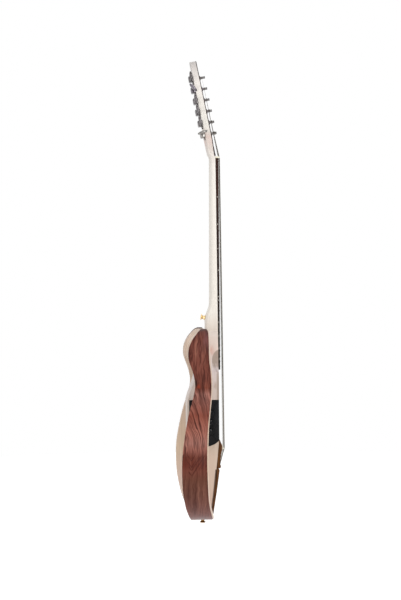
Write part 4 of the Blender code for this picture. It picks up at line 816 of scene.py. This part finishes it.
dark_chrome = plated("dark_chrome", tone(88, 84, 83), 0.22)
# Painted reflections: the case chrome's tints make the lowest cases and buttons light, put a violet-grey
# glint at the fifth, and darken the upper ones.
case_chrome = plated("case_chrome", tone(150, 147, 146), 0.22, (
    (0.030, (235, 235, 230)), (0.063, (224, 224, 220)), (0.074, (176, 173, 174)), (0.140, (168, 164, 168)),
    (0.163, (196, 190, 206)), (0.176, (158, 155, 156)), (0.200, (152, 148, 148))))
for number, turn in enumerate(BUTTON_TURNS):
    tuner = number + 1
    x, up = post_spot(number)
    edge = x - POST_INSET
    shaft_up, shaft_out = up + SHAFT_ABOVE_POST, CASE_BACK - CASE_DEPTH / 2
    front = aimed(on_head(x, up, 0.0), HEAD_OUT)
    side = aimed(on_head(edge, shaft_up, shaft_out), (-1, 0, 0))
    case = piece(f"tuner_case_{tuner}", tuner_case(x, up, edge, front, side), case_chrome)
    dress(case, "dark_chrome", f"tuner_housing_{tuner}")

    post = piece(f"post_{tuner}", turned(POST, front), dark_chrome)
    hole = aimed(on_head(x, up, POST_TALL - HOLE_BELOW_TOP), (1, 0, 0))
    dress(cut(post, turned(STRING_HOLE, hole, steps=16)), "nickel", f"tuner_post_{tuner}",
          body=f"tuner_{tuner}_post")

    button = tuner_button(edge, shaft_up, shaft_out, side, math.radians(turn))
    dress(piece(f"button_{tuner}", button, case_chrome), "dark_chrome", f"tuner_button_{tuner}",
          body=f"tuner_{tuner}_button")

# Core: the deep, narrow maple body between the frames, glued up, routed for the panel, the
# battery drawer and the sockets, and scooped at the shoulders. Painted shade darkens it lower down.
SCOOP_CENTRE = (0.0465, 0.002, -SADDLE_Z - 0.202)
SCOOP_REACH = (0.017, 0.020, 0.031)
TAIL_SLOPE = 0.1027
core_maple, core_colour = grained(
    "core_maple", tone(228, 217, 208), tone(217, 204, 193), (80.0, 80.0, 4.5), 0.40, pores=0.08, tints=(
        (SADDLE_Z - 0.16, (228, 208, 197)), (SADDLE_Z - 0.02, (226, 211, 199)),
        (SADDLE_Z + 0.005, (214, 203, 192)), (SADDLE_Z + 0.13, (226, 220, 219)),
        (SADDLE_Z + 0.175, (222, 218, 224)), (SADDLE_Z + 0.22, (244, 232, 228)),
        (SADDLE_Z + 0.262, (247, 246, 245))))
tree = core_maple.node_tree
place = coordinates(tree)
_, front, upper = parted(tree, place)
mirrored = wire(tree, "ShaderNodeVectorMath", {0: place}, operation="ABSOLUTE").outputs[0]

# Painted shade: the scoops and the upper front edges are darkened where they turn away from the light
_, far = around(tree, mirrored, SCOOP_CENTRE, SCOOP_REACH)
scooped = ranged(tree, far, 1.05, 1.01, 0.0, 0.8, soft=False)
sunk = ranged(tree, front, 0.0122, 0.0085, 0.0, 0.9)
for share in (ranged(tree, upper, SADDLE_Z + 0.200, SADDLE_Z + 0.170),
              ranged(tree, upper, SADDLE_Z + 0.080, SADDLE_Z + 0.110),
              ranged(tree, parted(tree, mirrored)["X"], 0.0425, 0.0485)):
    sunk = calc(tree, "MULTIPLY", sunk, share)
core_colour = blended(tree, calc(tree, "MAXIMUM", scooped, sunk), core_colour, tone(150, 132, 118))

# The front edge is stained brown beside the tail wedge, along the slope of the core's front
slope = calc(tree, "ADD", front, calc(tree, "MULTIPLY", upper, TAIL_SLOPE))
slope = ranged(tree, slope, 0.0108 + TAIL_SLOPE * SADDLE_Z, 0.0101 + TAIL_SLOPE * SADDLE_Z, soft=False)
below_bridge = ranged(tree, upper, SADDLE_Z - 0.045, SADDLE_Z - 0.047, soft=False)
core_colour = blended(tree, calc(tree, "MULTIPLY", slope, below_bridge), core_colour, tone(82, 55, 38))

# A small knot, a pink patch under the scoop, and a grey bruise over the panel
stain(core_maple, core_colour,
      ((-0.05, 0.0137, SADDLE_Z + 0.1396), (0.02, 0.0048, 0.010), (168, 146, 132), 0.8),
      ((-0.035, 0.021, SADDLE_Z + 0.218), (0.03, 0.009, 0.014), (200, 158, 142), 0.8),
      ((-0.05, 0.028, SADDLE_Z + 0.142), (0.03, 0.012, 0.016), (168, 158, 152), 0.55))
dress(softened("core_body", "core", 0.0012, core_maple, corner=50.0, below=NECK_END - 0.002), "maple",
      "core_body")

# Control panel: a moulded black plate let into the core's bass side over the preamp, held by four
# small screws. Three low fluted knobs stand on it, each with a pale pointer, and a plain push
# button. All four are moulded in the same matt black.
PANEL_X = -0.050
KNOB_Y = 0.0245
PUSH_Y = 0.050
KNOB_HEIGHTS = {"volume": 0.078, "bass": 0.058, "treble": 0.038}
KNOB = ((0.003, -0.004), (0.003, FIT), (0.0066, FIT), (0.0070, 0.0006), (0.0069, 0.0054), (0.0066, 0.0067),
        (0.0058, 0.0075), (0.0046, 0.0070), (0.0036, 0.0069))
POINTER_HALF = (0.00035, 0.0018)
POINTER_CORNER = 0.0003
POINTER_OUT = 0.0045
POINTER_SPAN = (0.0066, 0.0077)
PUSH_CAP = ((0.0052, -0.0053), (0.0052, -0.0033), (0.0040, -0.0033), (0.0040, 0.0018), (0.0038, 0.0023),
            (0.0034, 0.0027), (0.0026, 0.0025), (0.0012, 0.0024))
matt_black = moulded("matt_black", tone(17, 17, 19), 0.5, more={"Specular IOR Level": 0.12})
dress(softened("control_panel", "panel", 0.0005, matt_black), "black_plastic", "control_panel")
mark_paint = moulded("mark_paint", tone(120, 120, 122), 0.5)
for name, height in KNOB_HEIGHTS.items():
    place = aimed((PANEL_X, KNOB_Y, SADDLE_Z + height), (-1, 0, 0))
    knob = piece(f"{name}_knob", turned(KNOB, place, steps=72, fluted=(3, 4, 5)), matt_black, sharp=50.0)
    dress(knob, "black_plastic", f"knob_{name}", body=f"{name}_knob")
    pointer_edge = rounded_frame(*POINTER_HALF, POINTER_CORNER, 2)
    pointer = skin([[place @ Vector((a, POINTER_OUT + b, tall)) for a, b in pointer_edge]
                    for tall in POINTER_SPAN])
    dress(piece(f"{name}_pointer", pointer, mark_paint), "black_plastic", body=f"{name}_knob")
cap = turned(PUSH_CAP, aimed((PANEL_X, PUSH_Y, SADDLE_Z + KNOB_HEIGHTS["volume"]), (-1, 0, 0)))
dress(piece("power_cap", cap, matt_black), "black_plastic", "power_button", body="power_switch")

# Battery drawer: a moulded black tray that slides out of the core's treble side, and the 9 V
# battery in a painted metal jacket that lies in it.
dress(softened("battery_drawer", "drawer", 0.0004, black_plastic), "black_plastic", "battery_drawer",
      body="drawer")
cell_paint = moulded("cell_paint", tone(92, 94, 100), 0.35, metallic=0.6)
dress(softened("battery", "battery_cell", 0.0006, cell_paint), "cell_casing", "battery", body="drawer")

# Sockets: nickel-plated barrels through the core's treble side, the wide one for an amplifier's
# lead and the narrow one for headphones, each held by its round flange and hex nut.
SOCKET_X = 0.050
SOCKET_Y = 0.044
SOCKET_DEEP = 0.026
FLANGE_TALL = 0.0009
FLANGE_NUT_TALL = 0.002
nickel = plated("nickel", tone(196, 192, 186), 0.24)
for name, height, opening in (("line", -0.024, 0.0033), ("phones", -0.052, 0.00185)):
    place = aimed((SOCKET_X, SOCKET_Y, SADDLE_Z + height), (1, 0, 0))
    socket = turned(((opening, -SOCKET_DEEP), (0.0058, -SOCKET_DEEP), (0.006, 0.0002 - SOCKET_DEEP),
                     (0.006, FIT), (0.0074, FIT), (0.0075, 0.0005), (0.0072, FLANGE_TALL),
                     (opening, FLANGE_TALL)), place, steps=36, bore=True)
    turned(((opening, FLANGE_TALL), (0.0056, FLANGE_TALL), (0.0058, 0.0011), (0.0058, 0.0017),
            (0.0055, FLANGE_NUT_TALL), (opening, FLANGE_NUT_TALL)),
           place, socket, 36, hexed=(1, 2, 3, 4), bore=True)
    dress(piece(f"{name}_socket", socket, nickel), "nickel", f"jack_socket_{name}")

# Bridge, saddle and tail wedge: solid dark rosewood, sanded smooth and oiled. A slanting bone
# saddle stands in the bridge over the pickup strip, and the wedge carries its line to the tail.
HOLLOW = ((-0.0042, -0.004), (-0.0042, 0.0000), (-0.0137, 0.0019), (-0.0250, 0.0034), (-0.0335, 0.0043),
          (-0.0360, 0.0042), (-0.0378, 0.0034), (-0.0392, 0.0018), (-0.0392, -0.004))
HOLLOW_HALF = 0.06
bridge_wood, _ = grained("bridge_wood", tone(106, 68, 38), tone(58, 32, 15), (340.0, 340.0, 17.0), 0.45,
                         pores=0.4, gloss=0.1)
hollow_tool = skin([[Vector((x, y, SADDLE_Z + height)) for height, y in HOLLOW]
                    for x in (-HOLLOW_HALF, HOLLOW_HALF)])
bridge_block = cut(softened("bridge", "bridge_block", 0.0007, bridge_wood, corner=45.0), hollow_tool)
dress(bridge_block, "dark_wood", "bridge")
dress(softened("tail_wedge", "wedge", 0.0005, bridge_wood, corner=45.0), "dark_wood", "tail_wedge")
dress(softened("saddle", "saddle_bone", 0.0003, bone), "bone", "saddle")
pickup_metal = moulded("pickup_metal", tone(170, 168, 164), 0.4, metallic=1.0)
dress(softened("pickup_strip", "pickup", 0.0001, pickup_metal), "steel", "pickup_strip")

# Strings: four wound and two plain, drawn from the bridge's lower end over the saddle and the nut
# and wrapped on their posts. A wound string shows its winding as fine ribs across it.
NUT_TOP = -0.0018
SADDLE_TOP = -0.0064
SADDLE_SLANT = 0.035
BRIDGE_END = -0.0445
STRING_EXIT = 0.0048
BALL_LENGTH = 0.0036
BALL = ((0.0, 0.0013), (0.18, 0.0017), (0.82, 0.0017), (1.0, 0.0013))
WOUND_STRINGS = 4
WINDING_SHARE = 0.22
WRAP_TURNS = 1.75
WRAP_STEPS = 32
WRAP_GAP = 0.00045
BEND_REACH = 0.0012
BEND_SAG = 0.08
STRING_SIDES = 10


def saddle_point(number):
    """Where a string crosses the saddle, which slants across the bridge."""
    z = SADDLE_Z + SADDLE_SLANT * string_x(number, SADDLE_Z)
    return Vector((string_x(number, z), SADDLE_TOP - GAUGES[number] / 2, z))


def wrapped_turns(number):
    """One and three quarter turns round the post, from the free end down to the leaving point."""
    x, up = post_spot(number)
    reach = POST_WAIST + FIT + GAUGES[number] / 2
    points = []
    for step in range(int(WRAP_TURNS * WRAP_STEPS) + 1):
        turns = step / WRAP_STEPS
        angle = 2 * math.pi * turns
        points.append(on_head(x + reach * math.cos(angle), up + reach * math.sin(angle),
                              WRAP_TALL + (GAUGES[number] + WRAP_GAP) * turns))
    points.append(points[-1] + (points[-1] - points[-2]).normalized() * GAUGES[number])
    return list(reversed(points))


def string_route(number, gauge):
    """The string's middle line with its radius at each point, from the post to the ball end."""
    contact = saddle_point(number)
    low = SADDLE_Z + BRIDGE_END
    exit_point = Vector((string_x(number, low), STRING_EXIT, low))
    way = (exit_point - contact).normalized()
    seat = exit_point - way * (BALL_LENGTH + FIT)
    nut_spot = Vector((string_x(number, 0.0), NUT_TOP - gauge / 2, 0.0))
    route = [(point, gauge / 2) for point in wrapped_turns(number)]
    for bend, after in ((nut_spot, contact), (contact, seat)):
        before = route[-1][0]
        for share in (-BEND_REACH, -BEND_REACH / 3, BEND_REACH / 3, BEND_REACH):
            toward = (bend - before).normalized() if share < 0 else (after - bend).normalized()
            sag = Vector((0.0, (BEND_REACH - abs(share)) * BEND_SAG, 0.0))
            route.append((bend + toward * share + sag, gauge / 2))
    route.append((seat - way * FIT, gauge / 2))
    return route + [(seat + way * BALL_LENGTH * share, radius) for share, radius in BALL]


def lay_texture(shape, lengths, across):
    """Lays a ringed shape's texture by length one way, and by a value of each vertex the other."""
    layer = shape.loops.layers.uv.new("UVMap")
    shape.verts.index_update()
    sides = len(shape.verts) // len(lengths)
    for face in shape.faces:
        for loop in face.loops:
            loop[layer].uv = (lengths[loop.vert.index // sides], across(loop.vert))


def string_steel(name, wound, pitch):
    """Bright steel; a wound string has the ribs of its winding along its length."""
    material = moulded(name, tone(136, 132, 124) if wound else tone(142, 139, 133), 0.3, metallic=1.0)
    if wound:
        tree = material.node_tree
        turns = calc(tree, "MULTIPLY", parted(tree, coordinates(tree, "UV"))["X"], 2 * math.pi / pitch)
        ribs = bumps(tree, calc(tree, "SINE", turns), 0.7, 0.00006)
        feed(tree.nodes["Principled BSDF"], {"Normal": ribs})
    return material


for number, gauge in enumerate(GAUGES):
    route = string_route(number, gauge)
    rings, lengths = [], []
    side = Vector((1.0, 0.0, 0.0))
    for spot, (point, radius) in enumerate(route):
        before, after = route[max(spot - 1, 0)][0], route[min(spot + 1, len(route) - 1)][0]
        along = (after - before).normalized()
        side = (side - along * side.dot(along)).normalized()
        other = along.cross(side)
        angles = [2 * math.pi * step / STRING_SIDES for step in range(STRING_SIDES)]
        rings.append([point + side * radius * math.cos(angle) + other * radius * math.sin(angle)
                      for angle in angles])
        lengths.append(lengths[-1] + (point - route[spot - 1][0]).length if lengths else 0.0)
    shape = skin(rings)
    lay_texture(shape, lengths, lambda vert: vert.index % STRING_SIDES / STRING_SIDES)
    metal = string_steel(f"string_metal_{number + 1}", number < WOUND_STRINGS, gauge * WINDING_SHARE)
    dress(piece(f"strung_{number + 1}", shape, metal, sharp=60.0), "steel", f"string_{number + 1}")

# Truss rod and circuit board: a steel rod in its channel under the fingerboard, and the preamp
# on a green glass fibre board behind the panel. Both are hidden.
dress(softened("truss_rod", "rod", 0.0003, pickup_metal), "steel", "truss_rod")
board_green = moulded("board_green", tone(38, 92, 58), 0.4)
dress(softened("preamp_board", "preamp", 0.0002, board_green), "circuit_board", "preamp_board")

# Shoulder block: a maple cross bar planed square, its edges eased. Two screws hold it behind the
# core, and the upper ends of both frames are screwed to its ends.
block_maple, _ = grained("block_maple", tone(214, 197, 178), tone(196, 174, 152), (90.0, 5.0, 90.0), 0.42)
dress(softened("shoulder_block", "cross_bar", 0.001, block_maple), "maple", "shoulder_block")

# Bent frames: two open loops laminated from maple plies and faced outside with rosewood, bent in
# a mould, planed, their edges eased. The facing begins in a scarf joint on each frame's crest.
ROSEWOOD_THICK = 0.0014
THINNEST_FACING = 0.0009
FRAME_THICK = 0.0093
BLOCK_HALF = 0.048
BLOCK_LOW = 0.204
BLOCK_TALL = 0.030
LEG_BELOW_BLOCK = 0.002
LEG_SHARE = 0.66
TAIL_LOW = -0.1611
TAIL_BOW = 1.55
SCARF_START = 0.060
SCARF_LENGTH = 0.030
REVEAL = 0.0024
FACING_EASE = 0.0006
PLIES_EASE = 0.0009
FRAME_SHAPE = ((0.0515, 0.245), (0.0635, 0.2605), (0.088, 0.2673), (0.112, 0.260), (0.128, 0.241),
               (0.134, 0.214), (0.1285, 0.183), (0.118, 0.152), (0.116, 0.124), (0.130, 0.083),
               (0.156, 0.031), (0.1735, -0.018), (0.174, -0.060), (0.161, -0.097),
               (0.139, -0.1215), (0.110, -0.1405))
FRONT_LINE = ((0.268, 0.0350), (0.262, 0.0326), (0.202, 0.0320), (0.170, 0.0282), (0.144, 0.0266),
              (0.122, 0.0276), (0.092, 0.0314), (0.048, 0.0372), (-0.012, 0.0403), (-0.062, 0.0394),
              (-0.112, 0.0350), (-0.161, 0.0212))
BACK_LINE = ((0.267, 0.0462), (0.2635, 0.0523), (0.256, 0.0588), (0.246, 0.0668), (0.226, 0.0756),
             (0.202, 0.0764), (0.170, 0.066), (0.144, 0.062), (0.118, 0.0666), (0.081, 0.0777),
             (0.031, 0.0882), (-0.012, 0.0938), (-0.072, 0.0932), (-0.112, 0.0868), (-0.137, 0.0788),
             (-0.161, 0.0682))


def along_curve(points, steps):
    """Flat points along a smooth curve through the given ones."""
    points = [Vector(point) for point in points]
    padded = [2 * points[0] - points[1]] + points + [2 * points[-1] - points[-2]]
    path = []
    for a, b, c, d in zip(padded, padded[1:], padded[2:], padded[3:]):
        for step in range(steps):
            t = step / steps
            path.append(0.5 * (2 * b + (c - a) * t + (2 * a - 5 * b + 4 * c - d) * t ** 2
                               + (3 * b - a - 3 * c + d) * t ** 3))
    return path + [points[-1]]


def value_at(points, at):
    """Value of a smooth curve through (position, value) points at one position."""
    points = sorted(points)
    at = min(max(at, points[0][0]), points[-1][0])
    spot = 0
    while spot < len(points) - 2 and at > points[spot + 1][0]:
        spot += 1

    def slope(at_point):
        low, high = points[max(at_point - 1, 0)], points[min(at_point + 1, len(points) - 1)]
        return (high[1] - low[1]) / (high[0] - low[0])

    span = points[spot + 1][0] - points[spot][0]
    t = (at - points[spot][0]) / span
    return ((2 * t ** 3 - 3 * t ** 2 + 1) * points[spot][1] + (t ** 3 - 2 * t ** 2 + t) * span * slope(spot)
            + (3 * t ** 2 - 2 * t ** 3) * points[spot + 1][1] + (t ** 3 - t ** 2) * span * slope(spot + 1))


leg = BLOCK_HALF + FIT
frame_points = [(leg, BLOCK_LOW - LEG_BELOW_BLOCK), (leg, BLOCK_LOW + LEG_SHARE * BLOCK_TALL), *FRAME_SHAPE]
frame_points += [(x, TAIL_LOW + TAIL_BOW * x * x) for x in (0.080, 0.060, 0.040, 0.020, FIT / 2)]
frame_path = along_curve(frame_points, 7)


def facing_depth(point):
    """How deep the liner lies under the rosewood: nothing at the cross bar, all past the scarf."""
    share = (point.x - SCARF_START) / SCARF_LENGTH if point.y > 0.0 else 1.0
    return (ROSEWOOD_THICK + FIT) * ease(share)


def eased_box(outer, inner, front, back, radius, inside):
    """A frame's section as (depth, y), the outer corners rounded, the inner ones if inside is set."""
    radius = min(radius, (inner - outer) * 0.45)
    section = []
    for depth, y, way, side, soft in ((outer, front, 1, 1, True), (outer, back, 1, -1, True),
                                      (inner, back, -1, -1, inside), (inner, front, -1, 1, inside)):
        reach = radius if soft else radius * 0.1
        bend = []
        for step in range(4):
            angle = math.pi / 2 * step / 3
            bend.append((depth + way * reach * (1 - math.sin(angle)),
                         y + side * reach * (1 - math.cos(angle))))
        section += bend if way * side > 0 else list(reversed(bend))
    return section


def frame_layer(name, side, facing, material):
    """One layer of a frame, its texture laid out by length along the bend and by depth front to back."""
    rings, lengths = [], []
    total = 0.0
    for spot, point in enumerate(frame_path):
        before, after = frame_path[max(spot - 1, 0)], frame_path[min(spot + 1, len(frame_path) - 1)]
        total += (point - before).length
        cover = facing_depth(point)
        if facing and cover < THINNEST_FACING:
            continue
        way = (after - before).normalized()
        inward = Vector((0.0, 1.0)) if spot == len(frame_path) - 1 else Vector((way.y, -way.x))
        front, back = value_at(FRONT_LINE, point.y), value_at(BACK_LINE, point.y)
        if facing:
            section = eased_box(0.0, cover - FIT, front, back, FACING_EASE, False)
        else:
            section = eased_box(cover, FRAME_THICK, front - REVEAL, back, PLIES_EASE, True)
        ring = []
        for depth, y in section:
            flat = point + inward * depth
            ring.append(Vector((side * flat.x, y, SADDLE_Z + flat.y)))
        rings.append(ring)
        lengths.append(total)
    shape = skin(rings)
    lay_texture(shape, lengths, lambda vert: vert.co.y)
    return piece(name, shape, material, sharp=50.0)


# The rosewood's colours by height are its own tones mixed with painted light: a lilac-grey painted sheen at
# the tail, a lighter painted sheen below the waist, and painted shade at the crest.
ROSEWOOD_TONES_AND_PAINTED_LIGHT = (
    (-0.160, (122, 88, 86)), (-0.130, (124, 82, 74)), (-0.120, (116, 76, 68)), (-0.090, (100, 64, 54)),
    (-0.056, (98, 60, 47)), (-0.034, (108, 60, 48)), (-0.020, (96, 44, 33)), (-0.004, (98, 48, 36)),
    (0.010, (142, 88, 76)), (0.024, (162, 110, 98)), (0.045, (158, 100, 86)), (0.080, (130, 70, 56)),
    (0.126, (156, 104, 92)), (0.139, (118, 62, 48)), (0.159, (118, 66, 54)), (0.205, (114, 63, 52)),
    (0.240, (108, 60, 50)), (0.262, (100, 54, 44)), (0.268, (58, 26, 20)))
CHEVRON_MIDDLE = 0.074
CHEVRON_SLOPE = 1.5


def rosewood_finish(name):
    """Figured rosewood: fine streaks above, slanting lines at the waist, chevrons lower, calm below."""
    material, tree, shader = blank(name)
    along, across, _ = parted(tree, coordinates(tree, "UV"))
    height = parted(tree, coordinates(tree))["Z"]

    def rising(low, high, soft=True):
        """0 at one height above the saddle, 1 at another."""
        return ranged(tree, height, SADDLE_Z + low, SADDLE_Z + high, soft=soft)

    def cloud(x, fine, drawn, detail, seed=0.0):
        """Noise, so many to the metre across the figure and so many along the bend."""
        place = wire(tree, "ShaderNodeCombineXYZ", {"X": calc(tree, "MULTIPLY", x, fine),
                                                    "Y": calc(tree, "MULTIPLY", along, drawn), "Z": seed})
        return noise(tree, place.outputs[0], 1.0, detail, roughness=0.6)

    def sway(value, size):
        """Noise brought to a size to either side of nothing."""
        return calc(tree, "MULTIPLY", calc(tree, "SUBTRACT", value, 0.5), size)

    def lines(value, thin, wide, strength=1.0):
        """Lines where noise crosses its middle."""
        away = calc(tree, "ABSOLUTE", calc(tree, "SUBTRACT", value, 0.5))
        return ranged(tree, away, thin, wide, strength, 0.0)

    def drawn_in(colour, share, *line):
        """The figure so far, with lines of one more tone drawn in."""
        return blended(tree, share, colour, tone(*line))

    # The figure's lines lean over at the waist, and wander and ripple a little everywhere
    wander = sway(cloud(across, 40.0, 11.0, 2.0), 0.014)
    ripple = sway(cloud(across, 70.0, 38.0, 1.0, 3.0), 0.008)
    slant = calc(tree, "MULTIPLY", rising(0.130, 0.035, soft=False), 0.036)
    slant = calc(tree, "MULTIPLY", slant, ranged(tree, across, 0.022, 0.060, 0.2, 1.0))
    figure = calc(tree, "ADD", calc(tree, "ADD", across, slant), calc(tree, "ADD", wander, ripple))

    colour = by_height(tree, [(SADDLE_Z + at, values) for at, values in ROSEWOOD_TONES_AND_PAINTED_LIGHT])
    streak = cloud(figure, 210.0, 9.0, 5.0)
    colour = drawn_in(colour, ranged(tree, streak, 0.34, 0.54, 0.6, 0.0), 62, 24, 18)
    colour = drawn_in(colour, ranged(tree, streak, 0.54, 0.70, 0.0, 0.34), 180, 122, 102)
    patch = ranged(tree, cloud(figure, 30.0, 9.0, 1.0, 9.0), 0.46, 0.58, 0.15, 0.75)
    patch = calc(tree, "MULTIPLY", patch, rising(-0.050, 0.020))
    veins = calc(tree, "MULTIPLY", lines(cloud(figure, 105.0, 6.0, 1.0, 4.0), 0.012, 0.05), patch)
    colour = drawn_in(colour, veins, 50, 20, 16)
    thin = lines(cloud(figure, 190.0, 14.0, 1.0, 7.0), 0.02, 0.07, 0.6)
    colour = drawn_in(colour, calc(tree, "MULTIPLY", thin, rising(0.095, 0.150)), 54, 20, 16)

    # Broken chevrons below the waist
    away = calc(tree, "ABSOLUTE", calc(tree, "SUBTRACT", across, CHEVRON_MIDDLE))
    arms = calc(tree, "MULTIPLY", away, CHEVRON_SLOPE)
    fold = calc(tree, "ADD", calc(tree, "SUBTRACT", height, arms), wander)
    band = calc(tree, "MULTIPLY", rising(-0.060, -0.030), rising(0.012, -0.008))
    broken = ranged(tree, cloud(across, 60.0, 25.0, 1.0, 6.0), 0.38, 0.52, 0.0, 0.8)
    band = calc(tree, "MULTIPLY", band, broken)
    peaks = calc(tree, "MULTIPLY", lines(cloud(fold, 95.0, 3.0, 2.0, 2.0), 0.01, 0.05), band)
    colour = drawn_in(colour, peaks, 66, 26, 20)

    pore = cloud(across, 1500.0, 110.0, 2.0)
    colour = drawn_in(colour, ranged(tree, pore, 0.30, 0.42, 0.45, 0.0), 48, 22, 17)
    feed(shader, {"Roughness": ranged(tree, streak, 0.3, 0.7, 0.34, 0.48), "Specular IOR Level": 0.08,
                  "Normal": bumps(tree, pore, 0.25, 0.00015)})
    # A flushed place under the crest, an orange patch in the waist and the dark knot beside it
    stain(material, colour,
          ((-0.118, 0.038, SADDLE_Z + 0.243), (0.05, 0.009, 0.020), (134, 88, 86), 0.5),
          ((-0.118, 0.0545, SADDLE_Z + 0.1425), (0.05, 0.0045, 0.006), (142, 56, 34), 0.75),
          ((-0.118, 0.0600, SADDLE_Z + 0.150), (0.05, 0.0036, 0.012), (16, 7, 4), 0.95))
    return material


TAIL_SCREW_X = 0.019
TAIL_SCREW_Y = 0.044
TAIL_SCREW_RADIUS = 0.0039
TAIL_SCREW_SEAT = 0.0022
TAIL_HOLE_DEEP = 0.010
rosewood = rosewood_finish("rosewood")
# Painted light and shade: the plies are tinted darker about the waist and lighter at the tail and at the
# crest.
liner_maple, _ = grained(
    "liner_maple", tone(229, 207, 189), tone(212, 188, 168), (7.0, 260.0, 1.0), 0.42, source="UV", tints=(
        (SADDLE_Z - 0.161, (255, 254, 255)), (SADDLE_Z - 0.09, (255, 252, 255)),
        (SADDLE_Z - 0.02, (246, 243, 232)), (SADDLE_Z + 0.09, (230, 224, 218)),
        (SADDLE_Z + 0.268, (245, 246, 247))))
tail_screw_z = SADDLE_Z + TAIL_LOW + TAIL_BOW * TAIL_SCREW_X ** 2 + TAIL_SCREW_SEAT
tail_hole = ((TAIL_SCREW_RADIUS, -FIT), (TAIL_SCREW_RADIUS, TAIL_HOLE_DEEP))
for word, side in (("bass", -1), ("treble", 1)):
    hole = aimed((side * TAIL_SCREW_X, TAIL_SCREW_Y, tail_screw_z), (0, 0, -1))
    for layer, material, slot, node in (("facing", rosewood, "rosewood", "outer"),
                                        ("plies", liner_maple, "maple", "liner")):
        made = frame_layer(f"{word}_{layer}", side, layer == "facing", material)
        dress(cut(made, turned(tail_hole, hole, steps=24)), slot, f"{word}_frame_{node}")

# Wood screws: six nickel-plated ones with cross slots. They are driven through the frames' tails
# and the cross bar into the core, and through the frames' upper ends into the cross bar.
SCREW_HEAD = ((0.0012, -0.004), (0.0019, -0.003), (0.0019, 0.0), (0.0036, 0.0), (0.0036, 0.0009),
              (0.0033, 0.0016), (0.0026, 0.0021), (0.0010, 0.0022))
SCREW_AXES = {"frame_screw_bass_lower": (0, 0, -1), "frame_screw_treble_lower": (0, 0, -1),
              "frame_screw_bass_upper": (-1, 0, 0), "frame_screw_treble_upper": (1, 0, 0),
              "block_screw_bass": (0, 1, 0), "block_screw_treble": (0, 1, 0)}
SLOT_HALF = 0.0004


def cross_cut(made, place, half, low, high):
    """Cuts a cross for a screwdriver into a head."""
    for sides in ((half, SLOT_HALF), (SLOT_HALF, half)):
        cut(made, skin([[place @ Vector((x, y, z)) for x, y in rounded_frame(*sides, 0.0002, 2)]
                        for z in (low, high)]))


def seat_of(node, axis):
    """Where a screw's head sits: its solid's end along the axis, less the height of the head."""
    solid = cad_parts[node]
    spots = [solid.matrix_world @ Vector(corner) for corner in solid.bound_box]
    middle = sum(spots, Vector()) / 8
    top = max((spot - middle).dot(axis) for spot in spots)
    return middle + axis * (top - SCREW_HEAD[-1][1])


screw_head = piece("screw_head", turned(SCREW_HEAD, Matrix.Identity(4)), nickel)
cross_cut(screw_head, Matrix.Identity(4), half=0.0018, low=0.0010, high=0.0030)
bpy.context.scene.collection.objects.unlink(screw_head)
screw_tree, given = repeating_tree("screws", "Screw")
facing = wire(screw_tree, "GeometryNodeInputNamedAttribute", {"Name": "facing"}, data_type="FLOAT_VECTOR")
rotation = wire(screw_tree, "FunctionNodeAlignRotationToVector", {"Vector": facing.outputs[0]}, axis="Z")
real = repeated(screw_tree, given["Screw"], given["Geometry"], Rotation=rotation.outputs[0])
end_tree(screw_tree, real, given["Material"])
screw_points = bpy.data.meshes.new("screw_carrier")
screw_points.from_pydata([seat_of(node, Vector(axis)) for node, axis in SCREW_AXES.items()], [], [])
ways = screw_points.attributes.new("facing", "FLOAT_VECTOR", "POINT")
for item, axis in zip(ways.data, SCREW_AXES.values()):
    item.vector = axis
screws = grown("wood_screws", screw_points, screw_tree, {"Screw": screw_head, "Material": nickel})
dress(screws, "nickel", *SCREW_AXES)

# Strap buttons: turned brass, gold plated, each on its own screw: one square to the sloping
# heel, one under the frames' seam at the tail.
HEEL_BUTTON_Z = SADDLE_Z + 0.2905
HEEL_SPAN = 0.003
TAIL_BUTTON = Vector((0.0, 0.0415, SADDLE_Z + TAIL_LOW - FIT))
STRAP_BUTTON = ((0.0016, -0.012), (0.0016, 0.0), (0.0053, 0.0), (0.0055, 0.0003), (0.0054, 0.0012),
                (0.0046, 0.0020), (0.0039, 0.0030), (0.00375, 0.0045), (0.0040, 0.0060),
                (0.0050, 0.0071), (0.0063, 0.0077), (0.00675, 0.0081), (0.00675, 0.0088),
                (0.0064, 0.0095), (0.0056, 0.0099), (0.0040, 0.0100), (0.0036, 0.0099),
                (0.0034, 0.0092), (0.0028, 0.0096), (0.0015, 0.0098))
# The gold is tinted darker at the tail button than at the heel.
gold = plated("gold", tone(244, 216, 168), 0.24, ((-0.83, (148, 124, 88)), (-0.35, (255, 252, 242))))
heel_fall = (neck_back(HEEL_BUTTON_Z - HEEL_SPAN) - neck_back(HEEL_BUTTON_Z + HEEL_SPAN)) / (2 * HEEL_SPAN)
heel_out = Vector((0.0, 1.0, heel_fall)).normalized()
heel_button = Vector((0.0, neck_back(HEEL_BUTTON_Z), HEEL_BUTTON_Z)) + heel_out * FIT
for name, place in (("heel", aimed(heel_button, heel_out)), ("tail", aimed(TAIL_BUTTON, (0, 0, -1)))):
    button = piece(f"strap_{name}", turned(STRAP_BUTTON, place, steps=40), gold, sharp=50.0)
    cross_cut(button, place, half=0.0020, low=0.0088, high=0.0110)
    dress(button, "gold", f"strap_button_{name}")
